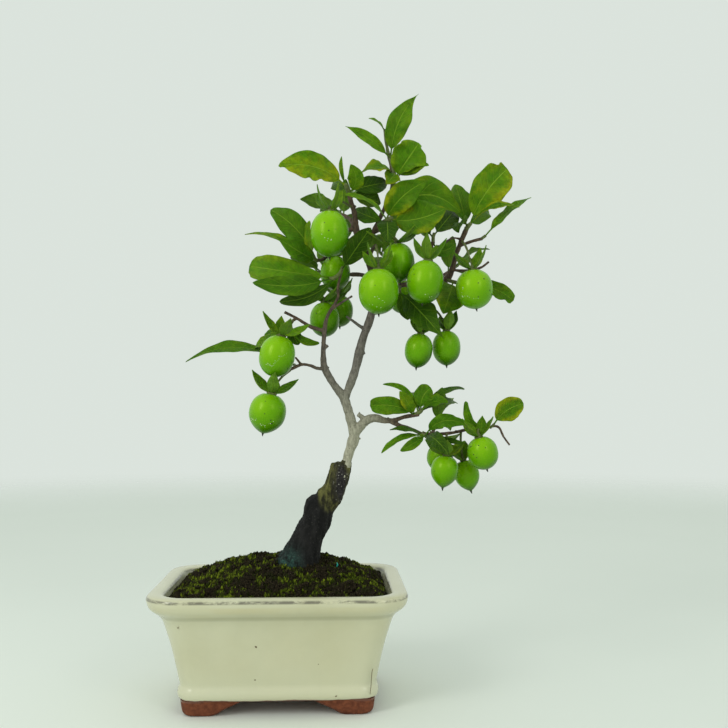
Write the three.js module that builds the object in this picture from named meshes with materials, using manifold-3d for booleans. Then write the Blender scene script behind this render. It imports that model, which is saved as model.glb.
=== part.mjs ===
// Princess persimmon bonsai in a rectangular glazed pot.
// Millimetres, X to the right, Y away from the front, Z up.
// The model is drawn round the middle of the pot, with the pot's feet at height 0, and the whole
// group is moved at the end so that the origin is the middle of its footprint.
import * as THREE from 'three';
import { mergeVertices } from 'three/addons/utils/BufferGeometryUtils.js';
import Module from 'manifold-3d';

const wasm = await Module();
wasm.setup();

// Driving dimensions
const GAP = 0.3;
const POT_HALF_WIDTH = 100;
const POT_HALF_DEPTH = 76;
const POT_CORNER = 26;
const POT_FLOOR = 20;
const DRAIN_RADIUS = 8;
const DRAIN_PLACES = [-42, 42];
const SCREEN_SIZE = 30;
const SCREEN_THICKNESS = 1.4;
const SCREEN_BAR = 2;
const FOOT_CORNER = 9;
const SOIL_EDGE = 86;
const SOIL_PEAK = 109;
const SOIL_CENTRE = [6, 14];
const SOIL_REACH = 1.3;
const SOIL_POWER = 0.8;
const LEAF_THICKNESS = 0.7;
const CALYX_RADIUS = 2;
const CALYX_THICKNESS = 1.8;
const FRUIT_STALK_RADIUS = 1;
const STALK_END_RADIUS = 1.15;
const SEPAL_START = 0.9;
const SEPAL_THICKNESS = 1.3;
const SEPAL_WIDTH = 10.5;
const SEPAL_LENGTH = 24;
const SEPAL_TWIST = 1.2;
const FRUIT_TOP = 0.95;
const FRUIT_SIDES = 9;
const TRUNK_SIDES = 11;
const TRUNK_TOP_SIDES = 9;
const STEM_SIDES = 6;
const TWIG_SIDES = 4;
const STALK_SIDES = 5;
const CLEARANCE = 1.8;
const EASE = 0.3;
const STALK = 0.14;
const STALK_RADIUS = 0.7;
const FOLD = 0.3;
const WAVE = 0.09;
const WIDEST = 0.52;
const SHARP = 0.62;
const LONG_LEAF = 42;
const LONGEST_LEAF = 60;

// Pot walls, from the underside to the rim and down inside: height and inset from the rim's edge
const OUTER_WALL = [
  [11, 26.6], [13, 23.4], [18, 22.6], [22.6, 24.2], [41, 20.4], [57, 16.5], [70, 12.6], [76, 9.8],
  [81, 4.2], [86, 0.8], [91, 0], [93, 1.6],
];
const INNER_WALL = [
  [93, 10.5], [91.5, 12.6], [84, 15.6], [30, 30], [POT_FLOOR, 36],
];
// One foot, from its top to the ground: height, length along X, length along Y, inset of its corner
const FOOT_STEPS = [[12, 50, 35, 25], [6, 38, 28, 26], [0, 27, 20, 28]];

// Wood, each stretch a list of points x, y, z and radius
const TRUNK = [
  [11, -5, 62, 14], [14, -6, 84, 17], [15, -6, 104, 17.6], [17, -5, 115, 15.4], [22, -3, 129, 12.8],
  [28, 0, 141, 12], [31, 2, 151, 12.2], [31.5, 2, 158, 10.8],
];
const TRUNK_TOP = [
  [30, 2, 146, 10], [38, 2, 159, 10.2], [43, 2, 167, 8.8], [45, 2, 174, 8.3], [48, 2, 187, 7.4],
];
const STEMS = {
  left: [
    [45, 2, 165, 5], [51, 2, 179, 4.6], [55, 2, 195, 4.3], [60, 2, 212, 4.8], [58, 1, 221, 4.2],
    [54, 0, 235, 3.8], [51, 0, 243, 4], [42, -4, 255, 3.1], [35, -7, 268, 3], [34, -8, 277, 2.2],
    [35, -10, 298, 1.9], [37, -12, 309, 1.5], [46, -11, 326, 1.2], [46, -11, 334, 1.2],
    [50, -10, 352, 1.1],
  ],
  leader: [
    [51, 0, 240, 3.6], [60, 0, 264, 3.6], [67, 3, 292, 3.5], [74, 4, 312, 3.4], [76, 5, 328, 3.2],
    [75, 6, 347, 3], [70, 6, 364, 2.8], [64, 5, 378, 3], [60, 4, 390, 3.2],
  ],
  right: [
    [59, 2, 211, 4], [65, 1, 219, 4], [70, 0, 224, 3.8], [77, -2, 226, 3.5], [85, -4, 224, 2.6],
    [92, -6, 224, 2], [101, -10, 227, 1.6], [113, -14, 229, 1.6],
  ],
};
const TWIGS = {
  rightStub: [[70, 0, 223, 2.5], [66, 1, 227, 2.2], [63, 1, 229, 2]],
  rightLow: [
    [88, -5, 224, 1.8], [97, -8, 220, 1.6], [104, -9, 218, 1.5], [111, -10, 215, 1.5],
    [115, -10, 213, 1.6], [122, -9, 213, 1.5], [132, -8, 213, 1.4], [142, -8, 214, 1.4],
    [156, -9, 217, 1.3], [165, -10, 217, 1.2], [178, -12, 219, 1.1], [183, -12, 210.5, 0.8],
    [188, -12, 203.6, 0.8],
  ],
  leftSide: [[40, -12, 315, 1.1], [50, -12, 322, 1], [58, -11, 327, 0.9]],
  lowTwig: [
    [35, -7, 267, 1.6], [29, -9, 267, 1.4], [24, -11, 269, 1.3], [17, -14, 270, 1.2],
    [12, -16, 268, 1.2], [6, -18, 265, 1.2],
  ],
  lowSpur: [[16, -14, 270, 1], [11, -15, 276, 0.9]],
  upTwig: [
    [35, -9, 298, 1.6], [24, -11, 301, 1.5], [17, -13, 305, 1.4], [12, -14, 308, 1.3],
    [2, -15, 313, 1.3],
  ],
  upTwigDown: [[12, -14, 308, 1.2], [7, -17, 304, 1.1], [2, -20, 298, 1.1], [0, -21, 295, 1.1]],
  leaderTwig: [[69, 3, 300, 1.3], [59, 0, 307, 1.1], [53, -2, 311, 1]],
  frontTwig: [[72, 6, 357, 1.8], [74, -6, 365, 1.6], [77, -19, 368, 1.5]],
  rightLimb: [
    [75, 5, 321, 2.6], [85, 8, 332, 2.4], [99, 12, 339, 2.2], [114, 16, 341, 2.2],
    [128, 18, 341, 2.4], [141, 17, 346, 2.8], [145, 14, 355, 2.3], [148, 10, 367, 2.1],
    [152, 6, 378, 2], [156, 3, 388, 2.2],
  ],
  hangTwig: [[112, 16, 341, 1.7], [120, 12, 330, 1.5], [125, 6, 320, 1.4]],
  midTwig: [[128, 18, 341, 1.9], [126, 8, 356, 1.7], [124, -2, 367, 1.6], [126, -5, 374, 1.6]],
  sideTwig: [[151, 7, 373, 1.5], [160, 3, 376, 1.3], [169, 0, 378, 1.3]],
  arcTwig: [
    [152, 6, 378, 1.1], [145, 4, 379, 0.9], [139, 1, 376, 0.9], [134, -2, 371, 0.9], [128, -3, 361, 0.9],
  ],
  limbStub: [[145, 14, 353, 1.3], [156, 10, 352, 1.2], [168, 6, 354, 1.1], [175, 5, 359, 1]],
  centre: [[66, 6, 373, 2.6], [75, 4, 382, 2.4], [82, 0, 389, 2.2], [88, -4, 392, 2.3]],
  top: [
    [76, 3, 383, 2.1], [85, 6, 403, 1.8], [92, 8, 421, 1.7], [92, 8, 438, 1.4], [89, 7, 451, 1.2],
    [87, 6, 463, 1.1], [86, 5, 471, 1],
  ],
  leftTop: [[61, 4, 387, 2.6], [60, 0, 398, 2.3], [57, -4, 407, 2], [54, -8, 417, 1.8]],
  leftMid: [
    [70, 6, 362, 2], [58, 26, 372, 1.7], [42, 22, 368, 1.5], [32, 8, 360, 1.4], [28, -2, 358, 1.4],
  ],
  backLeft: [[75, 6, 344, 2.2], [66, 24, 350, 1.9], [52, 36, 352, 1.7], [38, 42, 354, 1.5]],
  backMid: [[74, 6, 352, 2], [84, 24, 360, 1.8], [92, 40, 366, 1.6]],
  backTop: [[60, 4, 389, 2], [56, 18, 398, 1.7], [50, 30, 404, 1.5]],
  backCentre: [[76, 3, 383, 1.9], [88, 18, 390, 1.7], [98, 32, 394, 1.5]],
  backRight: [[132, 18, 342, 1.9], [138, 32, 350, 1.7], [146, 44, 356, 1.5]],
  branchBack: [[124, -9, 213, 1.5], [128, 4, 218, 1.3], [132, 15, 222, 1.2]],
  knotLeft: [[61, 4, 386, 2.2], [52, 6, 385, 1.9]],
  knotRight: [[66, 5, 375, 2], [72, 1, 372, 1.7]],
  nubs: [[35, -8, 284, 1.6], [38, -9, 286, 1.2]],
  nubLeader: [[64, 2, 278, 1.6], [69, 1, 281, 1.2]],
};

// Fruits: middle x, y, z, radius, half height, sideways lean of the top, where the stalk is fixed
// to the wood, how far the calyx is turned in degrees, and how far its sepals spread
const FRUITS = [
  [[39, -34, 374], 15.3, 19, 0, [58, -2, 403], 40, 0.45],
  [[44, 9, 349], 12.6, 14.6, 0, [69, 6, 367], 50, 0.9],
  [[78, -40, 327], 15.9, 18.4, 0, [77, -18, 368], 45, 0.5],
  [[96, -12, 355], 13.4, 16.4, -0.08, [80, 1, 387], 30, 1],
  [[116, -32, 336], 14.6, 17.8, 0.14, [124, -2, 367], 65, 0.45],
  [[158, -20, 332], 15.1, 16.5, -0.1, [152, 6, 377], 40, 0.6],
  [[35, 6, 309], 12.4, 14.8, 0, [46, -11, 330], 30, 0.8],
  [[48, 30, 319], 11.6, 14, 0, [56, 33, 351], 45, 0.7],
  [[113, -8, 282], 11.4, 14.6, 0.14, [120, 12, 330], 60, 0.5],
  [[138, 4, 285], 11.8, 15, 0, [125, 6, 321], 15, 0.45],
  [[-3, -28, 276], 14.2, 17, 0.2, [2, -20, 298], 15, 0.7],
  [[-11, -22, 230], 14.8, 16.6, 0.22, [7, -18, 265], 0, 0.7],
  [[163, -26, 198], 12.3, 13.6, -0.25, [164, -10, 217], 50, 0.55],
  [[132, -24, 183], 11, 13.4, 0.12, [136, -8, 213], 80, 0.7],
  [[154, -2, 178], 10.4, 13.3, -0.25, [148, -8, 215], 45, 0.45],
  [[132, 4, 192], 11, 12.4, 0.1, [127, -8, 213], 45, 0.9],
  [[104, 46, 334], 12.6, 15.4, -0.1, [91, 38, 365], 0, 0.6],
].map(([at, radius, half, lean, hold, turn, spread]) => (
  { at, radius, half, lean, hold, turn, spread }
));

// Sprays: a shoot, and its leaves as place along the shoot, tip x, y, z, width, the way the upper
// face looks (F front, B back, L left, R right, U up), how high the midrib arches, and for some how
// far it bends sideways and where along the blade it is widest
const SPRAYS = {
  spray_top: {
    shoot: [
      [92, 8, 421, 1.6], [94, 4, 428, 1.7], [94, 3, 434, 1.6], [91, 5, 446, 1.5], [89, 4, 452, 1.3],
      [86.5, 3.6, 463, 1.1], [85.5, 3.5, 472, 0.9],
    ],
    leaves: [
      [0.5, [115, 2, 503], 20, 'F', 0.06, 0.1, 0.44], [0.53, [52, -4, 472], 11, 'F', 0.12, -0.03],
      [0.2, [114, -8, 457], 31, 'F', 0.05, 0, 0.56], [0.17, [122, -10, 438], 11, 'FU', 0.1, 0.05, 0.6],
      [0.33, [86, -10, 421], 16, 'F', 0.1, 0.05, 0.42], [0.25, [64, -6, 431], 17, 'UF', 0.24],
      [0.98, [72, -4, 479], 5, 'FU', 0.12],
    ],
  },
  spray_front: {
    shoot: [[85, -2, 390, 1.9], [88, -5, 392, 2.3], [91, -8, 393, 1.7]],
    leaves: [
      [0.1, [118, -30, 419], 24, 'F', 0.06, 0.09], [0.5, [149, -8, 398], 30, 'F', 0.08, 0.28],
      [0.6, [134, -24, 398], 29, 'F', 0.08, -0.1], [0.3, [86, -31, 368], 19, 'F', 0.12],
      [0.4, [45, -24, 409], 10, 'UF', 0.14], [0.15, [60, 14, 405], 15, 'F', 0.1, 0.05],
    ],
  },
  spray_left_top: {
    shoot: [[56, -6, 413, 1.7], [53, -11, 418, 1.9], [52, -13, 420, 1.4]],
    leaves: [
      [0.5, [-3, -26, 431], 24, 'F', 0.1, -0.11, 0.5], [0.7, [49, -8, 445], 4, 'F', 0.05, 0.08],
      [0.1, [56, -22, 434], 15, 'F', 0.06, -0.2], [0.2, [89, 12, 428], 17, 'F', 0.08],
      [0.3, [42, 14, 430], 12, 'FL', 0.1], [0.1, [83, 8, 409], 15, 'F', 0.06],
    ],
  },
  spray_left_mid: {
    shoot: [[29, 1, 358, 1.4], [26, -5, 359, 1.7], [24, -7, 361, 1.4]],
    leaves: [
      [0.15, [-11, 0, 401], 23, 'F', 0.06, -0.08, 0.58], [0.05, [-4, -34, 372], 17, 'F', 0.12, 0.05],
      [0.2, [-33, 6, 382], 9, 'UF', 0.12, 0, 0.7], [0.5, [22, -14, 389], 10, 'FL', 0.08, 0, 0.6],
    ],
  },
  spray_left_low: {
    shoot: [[50, -10, 351, 1.5], [47, -12, 345, 1.6], [42, -14, 341, 1.7], [39, -15, 341, 1.4]],
    leaves: [
      [0.6, [-28, -8, 352], 24, 'F', 0.1, 0.02, 0.76], [0.95, [-22, -38, 334], 18, 'F', 0.07, 0.08],
      [0.6, [-2, -20, 321], 14, 'F', 0.1, 0.13, 0.6], [0.15, [73, -17, 383], 20, 'F', 0.06],
    ],
  },
  spray_right_top: {
    shoot: [[155, 3, 386, 1.9], [157, 1, 389, 2.1], [159, 0, 391, 1.6]],
    leaves: [
      [0.5, [146, -14, 380], 16, 'FL', 0.3], [0.2, [148, 17, 429], 20, 'F', 0.05],
      [0.8, [189, -8, 436], 32, 'F', 0.05, 0.07, 0.68],
      [0.95, [196, -20, 401], 11, 'UF', 0.14, 0.07, 0.6], [0.3, [176, 26, 418], 19, 'FR', 0.1],
    ],
  },
  spray_right: {
    shoot: [[168, 0, 378, 1.2], [171, -2, 380, 1.2]],
    leaves: [[0.9, [209, -6, 413], 14, 'FLU', 0.1, -0.07]],
  },
  spray_right_mid: {
    shoot: [[126, -4, 372, 1.6], [126, -6, 378, 1.6], [127, -6, 381, 1.3]],
    leaves: [
      [0.6, [147, 14, 405], 20, 'F', 0.06], [0.1, [144, -14, 371], 12, 'F', 0.12, -0.35, 0.56],
      [0.4, [112, 16, 399], 16, 'F', 0.1],
    ],
  },
  spray_right_low: {
    shoot: [[140, 17, 345, 1.9], [146, 10, 342, 1.7], [149, 8, 341, 1.4]],
    leaves: [
      [0.4, [134, -8, 313], 33, 'F', 0.08, 0, 0.6], [0.9, [195, 0, 325], 14, 'F', 0.12, 0.08, 0.7],
      [0.6, [170, 26, 322], 16, 'F', 0.1],
    ],
  },
  spray_low_centre: {
    shoot: [[99, 12, 339, 1.8], [98, 5, 334, 1.7], [98, 1, 332, 1.4]],
    leaves: [
      [0.7, [132, -29, 290], 24, 'F', 0.08, 0, 0.46], [0.4, [106, 8, 309], 14, 'F', 0.1],
      [0.3, [76, 16, 315], 13, 'F', 0.1, 0, 0.6],
    ],
  },
  spray_branch_hub: {
    shoot: [[108, -12, 228, 1.7], [113, -14, 231, 2], [115, -15, 233, 1.5]],
    leaves: [
      [0.1, [72, -20, 236], 16.5, 'F', 0.1, -0.1, 0.7], [0.4, [83, -8, 254], 5, 'F', 0.1, -0.2, 0.6],
      [0.9, [135, -26, 239], 13, 'FU', 0.1, 0.1], [0.8, [123, -12, 251], 18, 'F', 0.06, 0.16, 0.56],
      [0.6, [154, 6, 251], 7, 'UF', 0.12, 0.05, 0.66], [0.6, [149, 14, 239], 9, 'UF', 0.1, 0, 0.6],
      [0.6, [110, 14, 248], 12, 'F', 0.08], [0.15, [96, -24, 248], 11, 'F', 0.08],
    ],
  },
  spray_branch_low: {
    shoot: [[114, -10, 213, 1.7], [117, -14, 212, 1.7], [118, -16, 212, 1.3]],
    leaves: [
      [0.9, [150, -28, 221], 13, 'F', 0.1, 0.22], [0.2, [88, -22, 217], 6, 'UF', 0.1],
      [0.5, [81, -20, 198], 7, 'UF', 0.12, -0.06, 0.56], [0.8, [96, -30, 200], 9, 'F', 0.1, 0, 0.6],
      [0.95, [132, -51, 198], 13, 'F', 0.1, 0.05], [0.9, [147, -33, 206], 5, 'F', 0.06, 0, 0.7],
    ],
  },
  spray_branch_tip: {
    shoot: [[172, -11, 218, 1.2], [175, -13, 221, 1.3]],
    leaves: [
      [0.9, [199, -16, 238], 20, 'F', 0.05, 0.12, 0.56],
      [0.1, [151, -18, 240], 8, 'F', 0.06, 0.3, 0.74],
    ],
  },
  leaf_left_long: {
    shoot: [[12, -15, 268, 1.3], [10, -4, 270, 1.3]],
    leaves: [[0.8, [-79, -12, 273], 13, 'UF', 0.1, -0.1, 0.66]],
  },
  spray_left_cluster: {
    shoot: [[9, -16, 306, 1.4], [6, -13, 301, 1.4], [5, -12, 298, 1.2]],
    leaves: [
      [0.6, [14, -14, 286], 13, 'F', 0.08], [0.3, [31, -10, 288], 7, 'F', 0.1, -0.2, 0.62],
      [0.8, [-23, -8, 284], 10, 'UF', 0.12, 0.1, 0.6], [0.95, [-16, 4, 293], 11, 'F', 0.1],
    ],
  },
};

// Back sprays: the shoot goes on from the end of a twig, and its leaves follow a seeded rule
const BACK_SPRAYS = {
  spray_back_top: { shoot: [[52, 27, 402, 1.4], [47, 38, 408, 1.2]], length: 38, seed: 11 },
  spray_back_left: { shoot: [[41, 41, 353, 1.4], [24, 44, 356, 1.2]], length: 36, seed: 23 },
  spray_back_mid: { shoot: [[90, 37, 365, 1.5], [84, 46, 374, 1.2]], length: 38, seed: 31 },
  spray_back_centre: { shoot: [[96, 30, 393, 1.4], [106, 42, 402, 1.2]], length: 38, seed: 43 },
  spray_back_right: { shoot: [[144, 42, 355, 1.4], [156, 54, 364, 1.2]], length: 34, seed: 57 },
  spray_branch_back: { shoot: [[131, 12, 221, 1.1], [136, 24, 228, 1]], count: 4, length: 28, seed: 61 },
};

// Colours, as the finish of each kind of piece
const glaze = new THREE.MeshStandardMaterial({ name: 'glaze', color: 0xe9e4cf, roughness: 0.25 });
const earth = new THREE.MeshStandardMaterial({ name: 'earth', color: 0x2f3416, roughness: 0.95 });
const bark = new THREE.MeshStandardMaterial({ name: 'bark', color: 0x7c7566, roughness: 0.85 });
const skin = new THREE.MeshStandardMaterial({ name: 'fruit_skin', color: 0x73b914, roughness: 0.3 });
const sepals = new THREE.MeshStandardMaterial({ name: 'calyx', color: 0x4f8a1c, roughness: 0.6 });
const foliage = new THREE.MeshStandardMaterial({ name: 'leaf', color: 0x3c7f1c, roughness: 0.5 });
const plastic = new THREE.MeshStandardMaterial({ name: 'screen', color: 0x25272a, roughness: 0.7 });

const group = new THREE.Group();
const CORNERS = [[1, 1], [-1, 1], [-1, -1], [1, -1]];
const vector = (p) => new THREE.Vector3(p[0], p[1], p[2]);

// Solids and their meshes
function solid(geometry) {
  const plain = geometry.clone();
  plain.deleteAttribute('normal');
  plain.deleteAttribute('uv');
  const merged = mergeVertices(plain, 1e-4);
  return new wasm.Manifold(new wasm.Mesh({
    numProp: 3,
    vertProperties: new Float32Array(merged.attributes.position.array),
    triVerts: new Uint32Array(merged.index.array),
  }));
}

function largestPiece(body) {
  const pieces = body.decompose();
  return pieces.reduce((best, piece) => (piece.volume() > best.volume() ? piece : best));
}

function addMesh(name, body, material) {
  const data = largestPiece(body).getMesh();
  const geometry = new THREE.BufferGeometry();
  const places = new Float32Array(data.vertProperties);
  geometry.setAttribute('position', new THREE.BufferAttribute(places, 3));
  geometry.setIndex(new THREE.BufferAttribute(new Uint32Array(data.triVerts), 1));
  geometry.computeVertexNormals();
  const mesh = new THREE.Mesh(geometry, material);
  mesh.name = name;
  group.add(mesh);
}

// A closed body through rings of points, each ring with the same number of points
function loft(rings) {
  const count = rings[0].length;
  const places = rings.flat().flatMap((p) => [p.x, p.y, p.z]);
  const faces = [];
  for (let i = 0; i + 1 < rings.length; i += 1) {
    for (let j = 0; j < count; j += 1) {
      const next = (j + 1) % count;
      const [a, b] = [i * count + j, i * count + next];
      const [c, d] = [a + count, b + count];
      faces.push(a, b, d, a, d, c);
    }
  }
  const last = (rings.length - 1) * count;
  for (let j = 1; j + 1 < count; j += 1) {
    faces.push(0, j + 1, j);
    faces.push(last, last + j, last + j + 1);
  }
  const geometry = new THREE.BufferGeometry();
  geometry.setAttribute('position', new THREE.Float32BufferAttribute(places, 3));
  geometry.setIndex(faces);
  return geometry;
}

// A round rod along points with a radius each
function rod(points, sides, grow = 0) {
  const path = points.map(vector);
  let across = new THREE.Vector3(0.3, 1, 0.2);
  const rings = points.map((point, i) => {
    const along = path[Math.min(i + 1, path.length - 1)].clone();
    along.sub(path[Math.max(i - 1, 0)]).normalize();
    across = across.clone().addScaledVector(along, -across.dot(along)).normalize();
    const other = new THREE.Vector3().crossVectors(along, across);
    const radius = point[3] + grow;
    const ring = [];
    for (let k = 0; k < sides; k += 1) {
      const angle = (2 * Math.PI * k) / sides;
      const spot = path[i].clone().addScaledVector(across, radius * Math.cos(angle));
      ring.push(spot.addScaledVector(other, radius * Math.sin(angle)));
    }
    return ring;
  });
  if (grow > 0) {
    const start = path[0].clone().sub(path[1]).setLength(grow);
    rings[0].forEach((p) => p.add(start));
    const end = path[path.length - 1].clone().sub(path[path.length - 2]).setLength(grow);
    rings[rings.length - 1].forEach((p) => p.add(end));
  }
  return solid(loft(rings));
}

// Rounded rectangles of the pot, anticlockwise seen from above
function roundedRing(halfX, halfY, radius, z, steps, centre = [0, 0]) {
  const ring = [];
  for (let corner = 0; corner < 4; corner += 1) {
    const [sx, sy] = CORNERS[corner];
    for (let k = 0; k <= steps; k += 1) {
      const angle = (Math.PI / 2) * (corner + k / steps);
      ring.push(new THREE.Vector3(
        centre[0] + sx * (halfX - radius) + radius * Math.cos(angle),
        centre[1] + sy * (halfY - radius) + radius * Math.sin(angle),
        z,
      ));
    }
  }
  return ring;
}

function wallRing(z, inset, grow = 0) {
  const radius = Math.max(POT_CORNER - 0.5 * inset, 6);
  const shrink = inset + grow;
  return roundedRing(POT_HALF_WIDTH - shrink, POT_HALF_DEPTH - shrink, radius, z, 3);
}

function foot(signX, signY) {
  const rings = FOOT_STEPS.map(([z, lengthX, lengthY, inset]) => {
    const centre = [
      signX * (POT_HALF_WIDTH - inset - lengthX / 2),
      signY * (POT_HALF_DEPTH - inset - lengthY / 2),
    ];
    return roundedRing(lengthX / 2, lengthY / 2, FOOT_CORNER, z, 1, centre);
  });
  return solid(loft(rings.reverse()));
}

function makePot() {
  const walls = [...OUTER_WALL, ...INNER_WALL].map(([z, inset]) => wallRing(z, inset));
  let pot = solid(loft(walls));
  for (const [x, y] of CORNERS) {
    pot = pot.add(foot(x, y));
  }
  for (const x of DRAIN_PLACES) {
    const hole = new THREE.CylinderGeometry(DRAIN_RADIUS, DRAIN_RADIUS, 30, 12);
    hole.rotateX(Math.PI / 2).translate(x, 0, POT_FLOOR - 6);
    pot = pot.subtract(solid(hole));
  }
  addMesh('pot', pot, glaze);
}

// Drain screens: square plates of plastic net over the holes
function screenPlate(x, grow) {
  const size = SCREEN_SIZE + 2 * grow;
  const plate = new THREE.BoxGeometry(size, size, SCREEN_THICKNESS + 2 * grow);
  return plate.translate(x, 0, POT_FLOOR + GAP + SCREEN_THICKNESS / 2);
}

function makeScreens() {
  const opening = (SCREEN_SIZE - 4 * SCREEN_BAR) / 2;
  const shift = (opening + SCREEN_BAR) / 2;
  DRAIN_PLACES.forEach((x, side) => {
    let screen = solid(screenPlate(x, 0));
    for (const [i, j] of CORNERS) {
      const mesh = new THREE.BoxGeometry(opening, opening, 4 * SCREEN_THICKNESS);
      mesh.translate(x + i * shift, j * shift, POT_FLOOR);
      screen = screen.subtract(solid(mesh));
    }
    addMesh(`drain_screen_${side + 1}`, screen, plastic);
  });
}

// Soil: it fills the pot up to the edge height and rises to a low mound round the trunk
function wobble(x, y) {
  return 1.3 * Math.sin(0.19 * x + 0.6) * Math.cos(0.23 * y) + 0.9 * Math.sin(0.37 * x - 0.31 * y);
}

function makeSoil(trunkHole) {
  const [centreX, centreY] = SOIL_CENTRE;
  const rings = [];
  const insetAt = (z) => {
    const above = INNER_WALL.findIndex(([height]) => height <= z);
    const [[z1, i1], [z0, i0]] = [INNER_WALL[above - 1], INNER_WALL[above]];
    return i0 + ((i1 - i0) * (z - z0)) / (z1 - z0);
  };
  rings.push(wallRing(POT_FLOOR + GAP, insetAt(POT_FLOOR + GAP), GAP + 0.5));
  for (const z of [30, 84, SOIL_EDGE]) {
    rings.push(wallRing(z, insetAt(z), GAP));
  }
  const edge = rings[rings.length - 1];
  for (const share of [0.1, 0.28, 0.46, 0.64, 0.82, 0.95]) {
    const rise = Math.sin((Math.PI / 2) * Math.min(1, share * SOIL_REACH)) ** SOIL_POWER;
    rings.push(edge.map((p) => {
      const corner = Math.hypot(p.x / edge[0].x, p.y / edge[3].y) - 1;
      const reach = (1 - share) / (1 + corner * Math.min(1, 2 * share));
      const x = centreX + (p.x - centreX) * reach;
      const y = centreY + (p.y - centreY) * reach;
      return new THREE.Vector3(x, y, SOIL_EDGE + (SOIL_PEAK - SOIL_EDGE) * rise + wobble(x, y));
    }));
  }
  let soil = solid(loft(rings)).subtract(trunkHole);
  for (const x of DRAIN_PLACES) {
    soil = soil.subtract(solid(screenPlate(x, GAP)));
  }
  addMesh('soil', soil, earth);
}

// Wood: the whole of it, and the same grown by the gap for what is fitted against it
function makeWood(grow) {
  const rods = [rod(TRUNK, TRUNK_SIDES, grow), rod(TRUNK_TOP, TRUNK_TOP_SIDES, grow)];
  for (const points of Object.values(STEMS)) {
    rods.push(rod(points, STEM_SIDES, grow));
  }
  for (const points of Object.values(TWIGS)) {
    rods.push(rod(points, TWIG_SIDES, grow));
  }
  return wasm.Manifold.union(rods);
}

// Fruits: an oval body with a shallow dent under the calyx and the short dry style below
function fruitAxis(fruit) {
  return new THREE.Vector3(fruit.lean, 0, 1).normalize();
}

function fruitSolid(fruit, grow = 0) {
  const [radius, half] = [fruit.radius + grow, fruit.half + grow];
  const top = FRUIT_TOP * fruit.half + grow;
  const profile = [
    [0, -half - 2], [1, -half + 0.2], [0.62 * radius, -0.8 * half], [0.95 * radius, -0.3 * half],
    [0.97 * radius, 0.3 * half], [0.7 * radius, 0.76 * half], [0.28 * radius, top], [0, top],
  ];
  const points = profile.map(([r, z]) => new THREE.Vector2(r, z));
  const lathe = new THREE.LatheGeometry(points, FRUIT_SIDES);
  const turn = new THREE.Quaternion();
  turn.setFromUnitVectors(new THREE.Vector3(0, 1, 0), fruitAxis(fruit));
  lathe.applyQuaternion(turn).translate(...fruit.at);
  return solid(lathe);
}

// Leaves
const FACES = { F: [0, -1, 0], B: [0, 1, 0], L: [-1, 0, 0], R: [1, 0, 0], U: [0, 0, 1] };

function faceVector(letters) {
  const sum = new THREE.Vector3();
  for (const letter of letters) {
    sum.add(vector(FACES[letter]));
  }
  return sum.normalize();
}

// What lies inside a fruit's space is moved out to its skin, and what is near is eased round it
function bendClear(point) {
  for (const fruit of FRUITS) {
    const away = point.clone().sub(vector(fruit.at));
    away.x -= fruit.lean * away.z;
    const [radius, half] = [fruit.radius + CLEARANCE, fruit.half + CLEARANCE];
    const level = Math.hypot(away.x / radius, away.y / radius, away.z / half);
    if (level > 0.01 && level < 1 + EASE) {
      const wanted = 1 + Math.max(0, level - 1 + EASE) ** 2 / (4 * EASE);
      away.multiplyScalar(wanted / level);
      away.x += fruit.lean * away.z;
      point.copy(vector(fruit.at)).add(away);
    }
  }
  return point;
}

// One leaf as a closed thin body: a short stalk, then a blade folded along its midrib with a wavy
// edge. The upper and the lower face are split alike.
function leafSolid(base, tip, width, face, arch, phase, sway = 0, widest = WIDEST) {
  const chord = tip.clone().sub(base);
  const length = chord.length();
  const along = chord.clone().normalize();
  const up = face.clone().addScaledVector(along, -face.dot(along)).normalize();
  const bow = new THREE.Vector3().crossVectors(up, along).multiplyScalar(sway);
  bow.addScaledVector(up, arch);
  const midrib = (q) => base.clone().addScaledVector(chord, q)
    .addScaledVector(bow, length * 4 * q * (1 - q));
  const blunt = (SHARP * (1 - widest)) / widest;
  const outline = (s) => (s / widest) ** SHARP * ((1 - s) / (1 - widest)) ** blunt;
  const stations = 2 + (length > LONG_LEAF) + (length > LONGEST_LEAF);
  const places = [0];
  for (let k = 1; k <= stations; k += 1) {
    places.push(STALK + ((1 - STALK) * k) / (stations + 1));
  }
  places.push(1);
  const rings = [];
  places.forEach((q, index) => {
    const ahead = midrib(Math.min(q + 0.01, 1));
    const tangent = ahead.sub(midrib(Math.max(q - 0.01, 0))).normalize();
    const lift = up.clone().addScaledVector(tangent, -up.dot(tangent)).normalize();
    const side = new THREE.Vector3().crossVectors(lift, tangent);
    const share = Math.max(0, (q - STALK) / (1 - STALK));
    const spread = (width / 2) * (index === 0 || q === 1 ? 0 : outline(share));
    const reach = Math.max(spread, q === 1 ? 0.35 : STALK_RADIUS);
    const half = index === 0 ? 0.8 * STALK_RADIUS : LEAF_THICKNESS / 2;
    const ring = [-1, 0, 1].map((t) => {
      const ripple = WAVE * width * t * t * Math.sin(2 * Math.PI * (1.6 * share + phase + 0.3 * t));
      const height = spread * Math.abs(t) * Math.sin(FOLD) + (spread > 0 ? ripple * outline(share) : 0);
      const spot = midrib(q).addScaledVector(side, t * reach * Math.cos(FOLD));
      spot.addScaledVector(lift, height);
      return index === 0 ? spot : bendClear(spot);
    });
    const edge = index === 0 ? 0.4 * half : half;
    const above = ring.map((p, i) => p.clone().addScaledVector(lift, i === 1 ? half : edge));
    const below = ring.map((p, i) => p.clone().addScaledVector(lift, i === 1 ? -half : -edge));
    rings.push([above[0], above[1], above[2], below[2], below[1], below[0]]);
  });
  return leafBody(rings);
}

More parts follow.
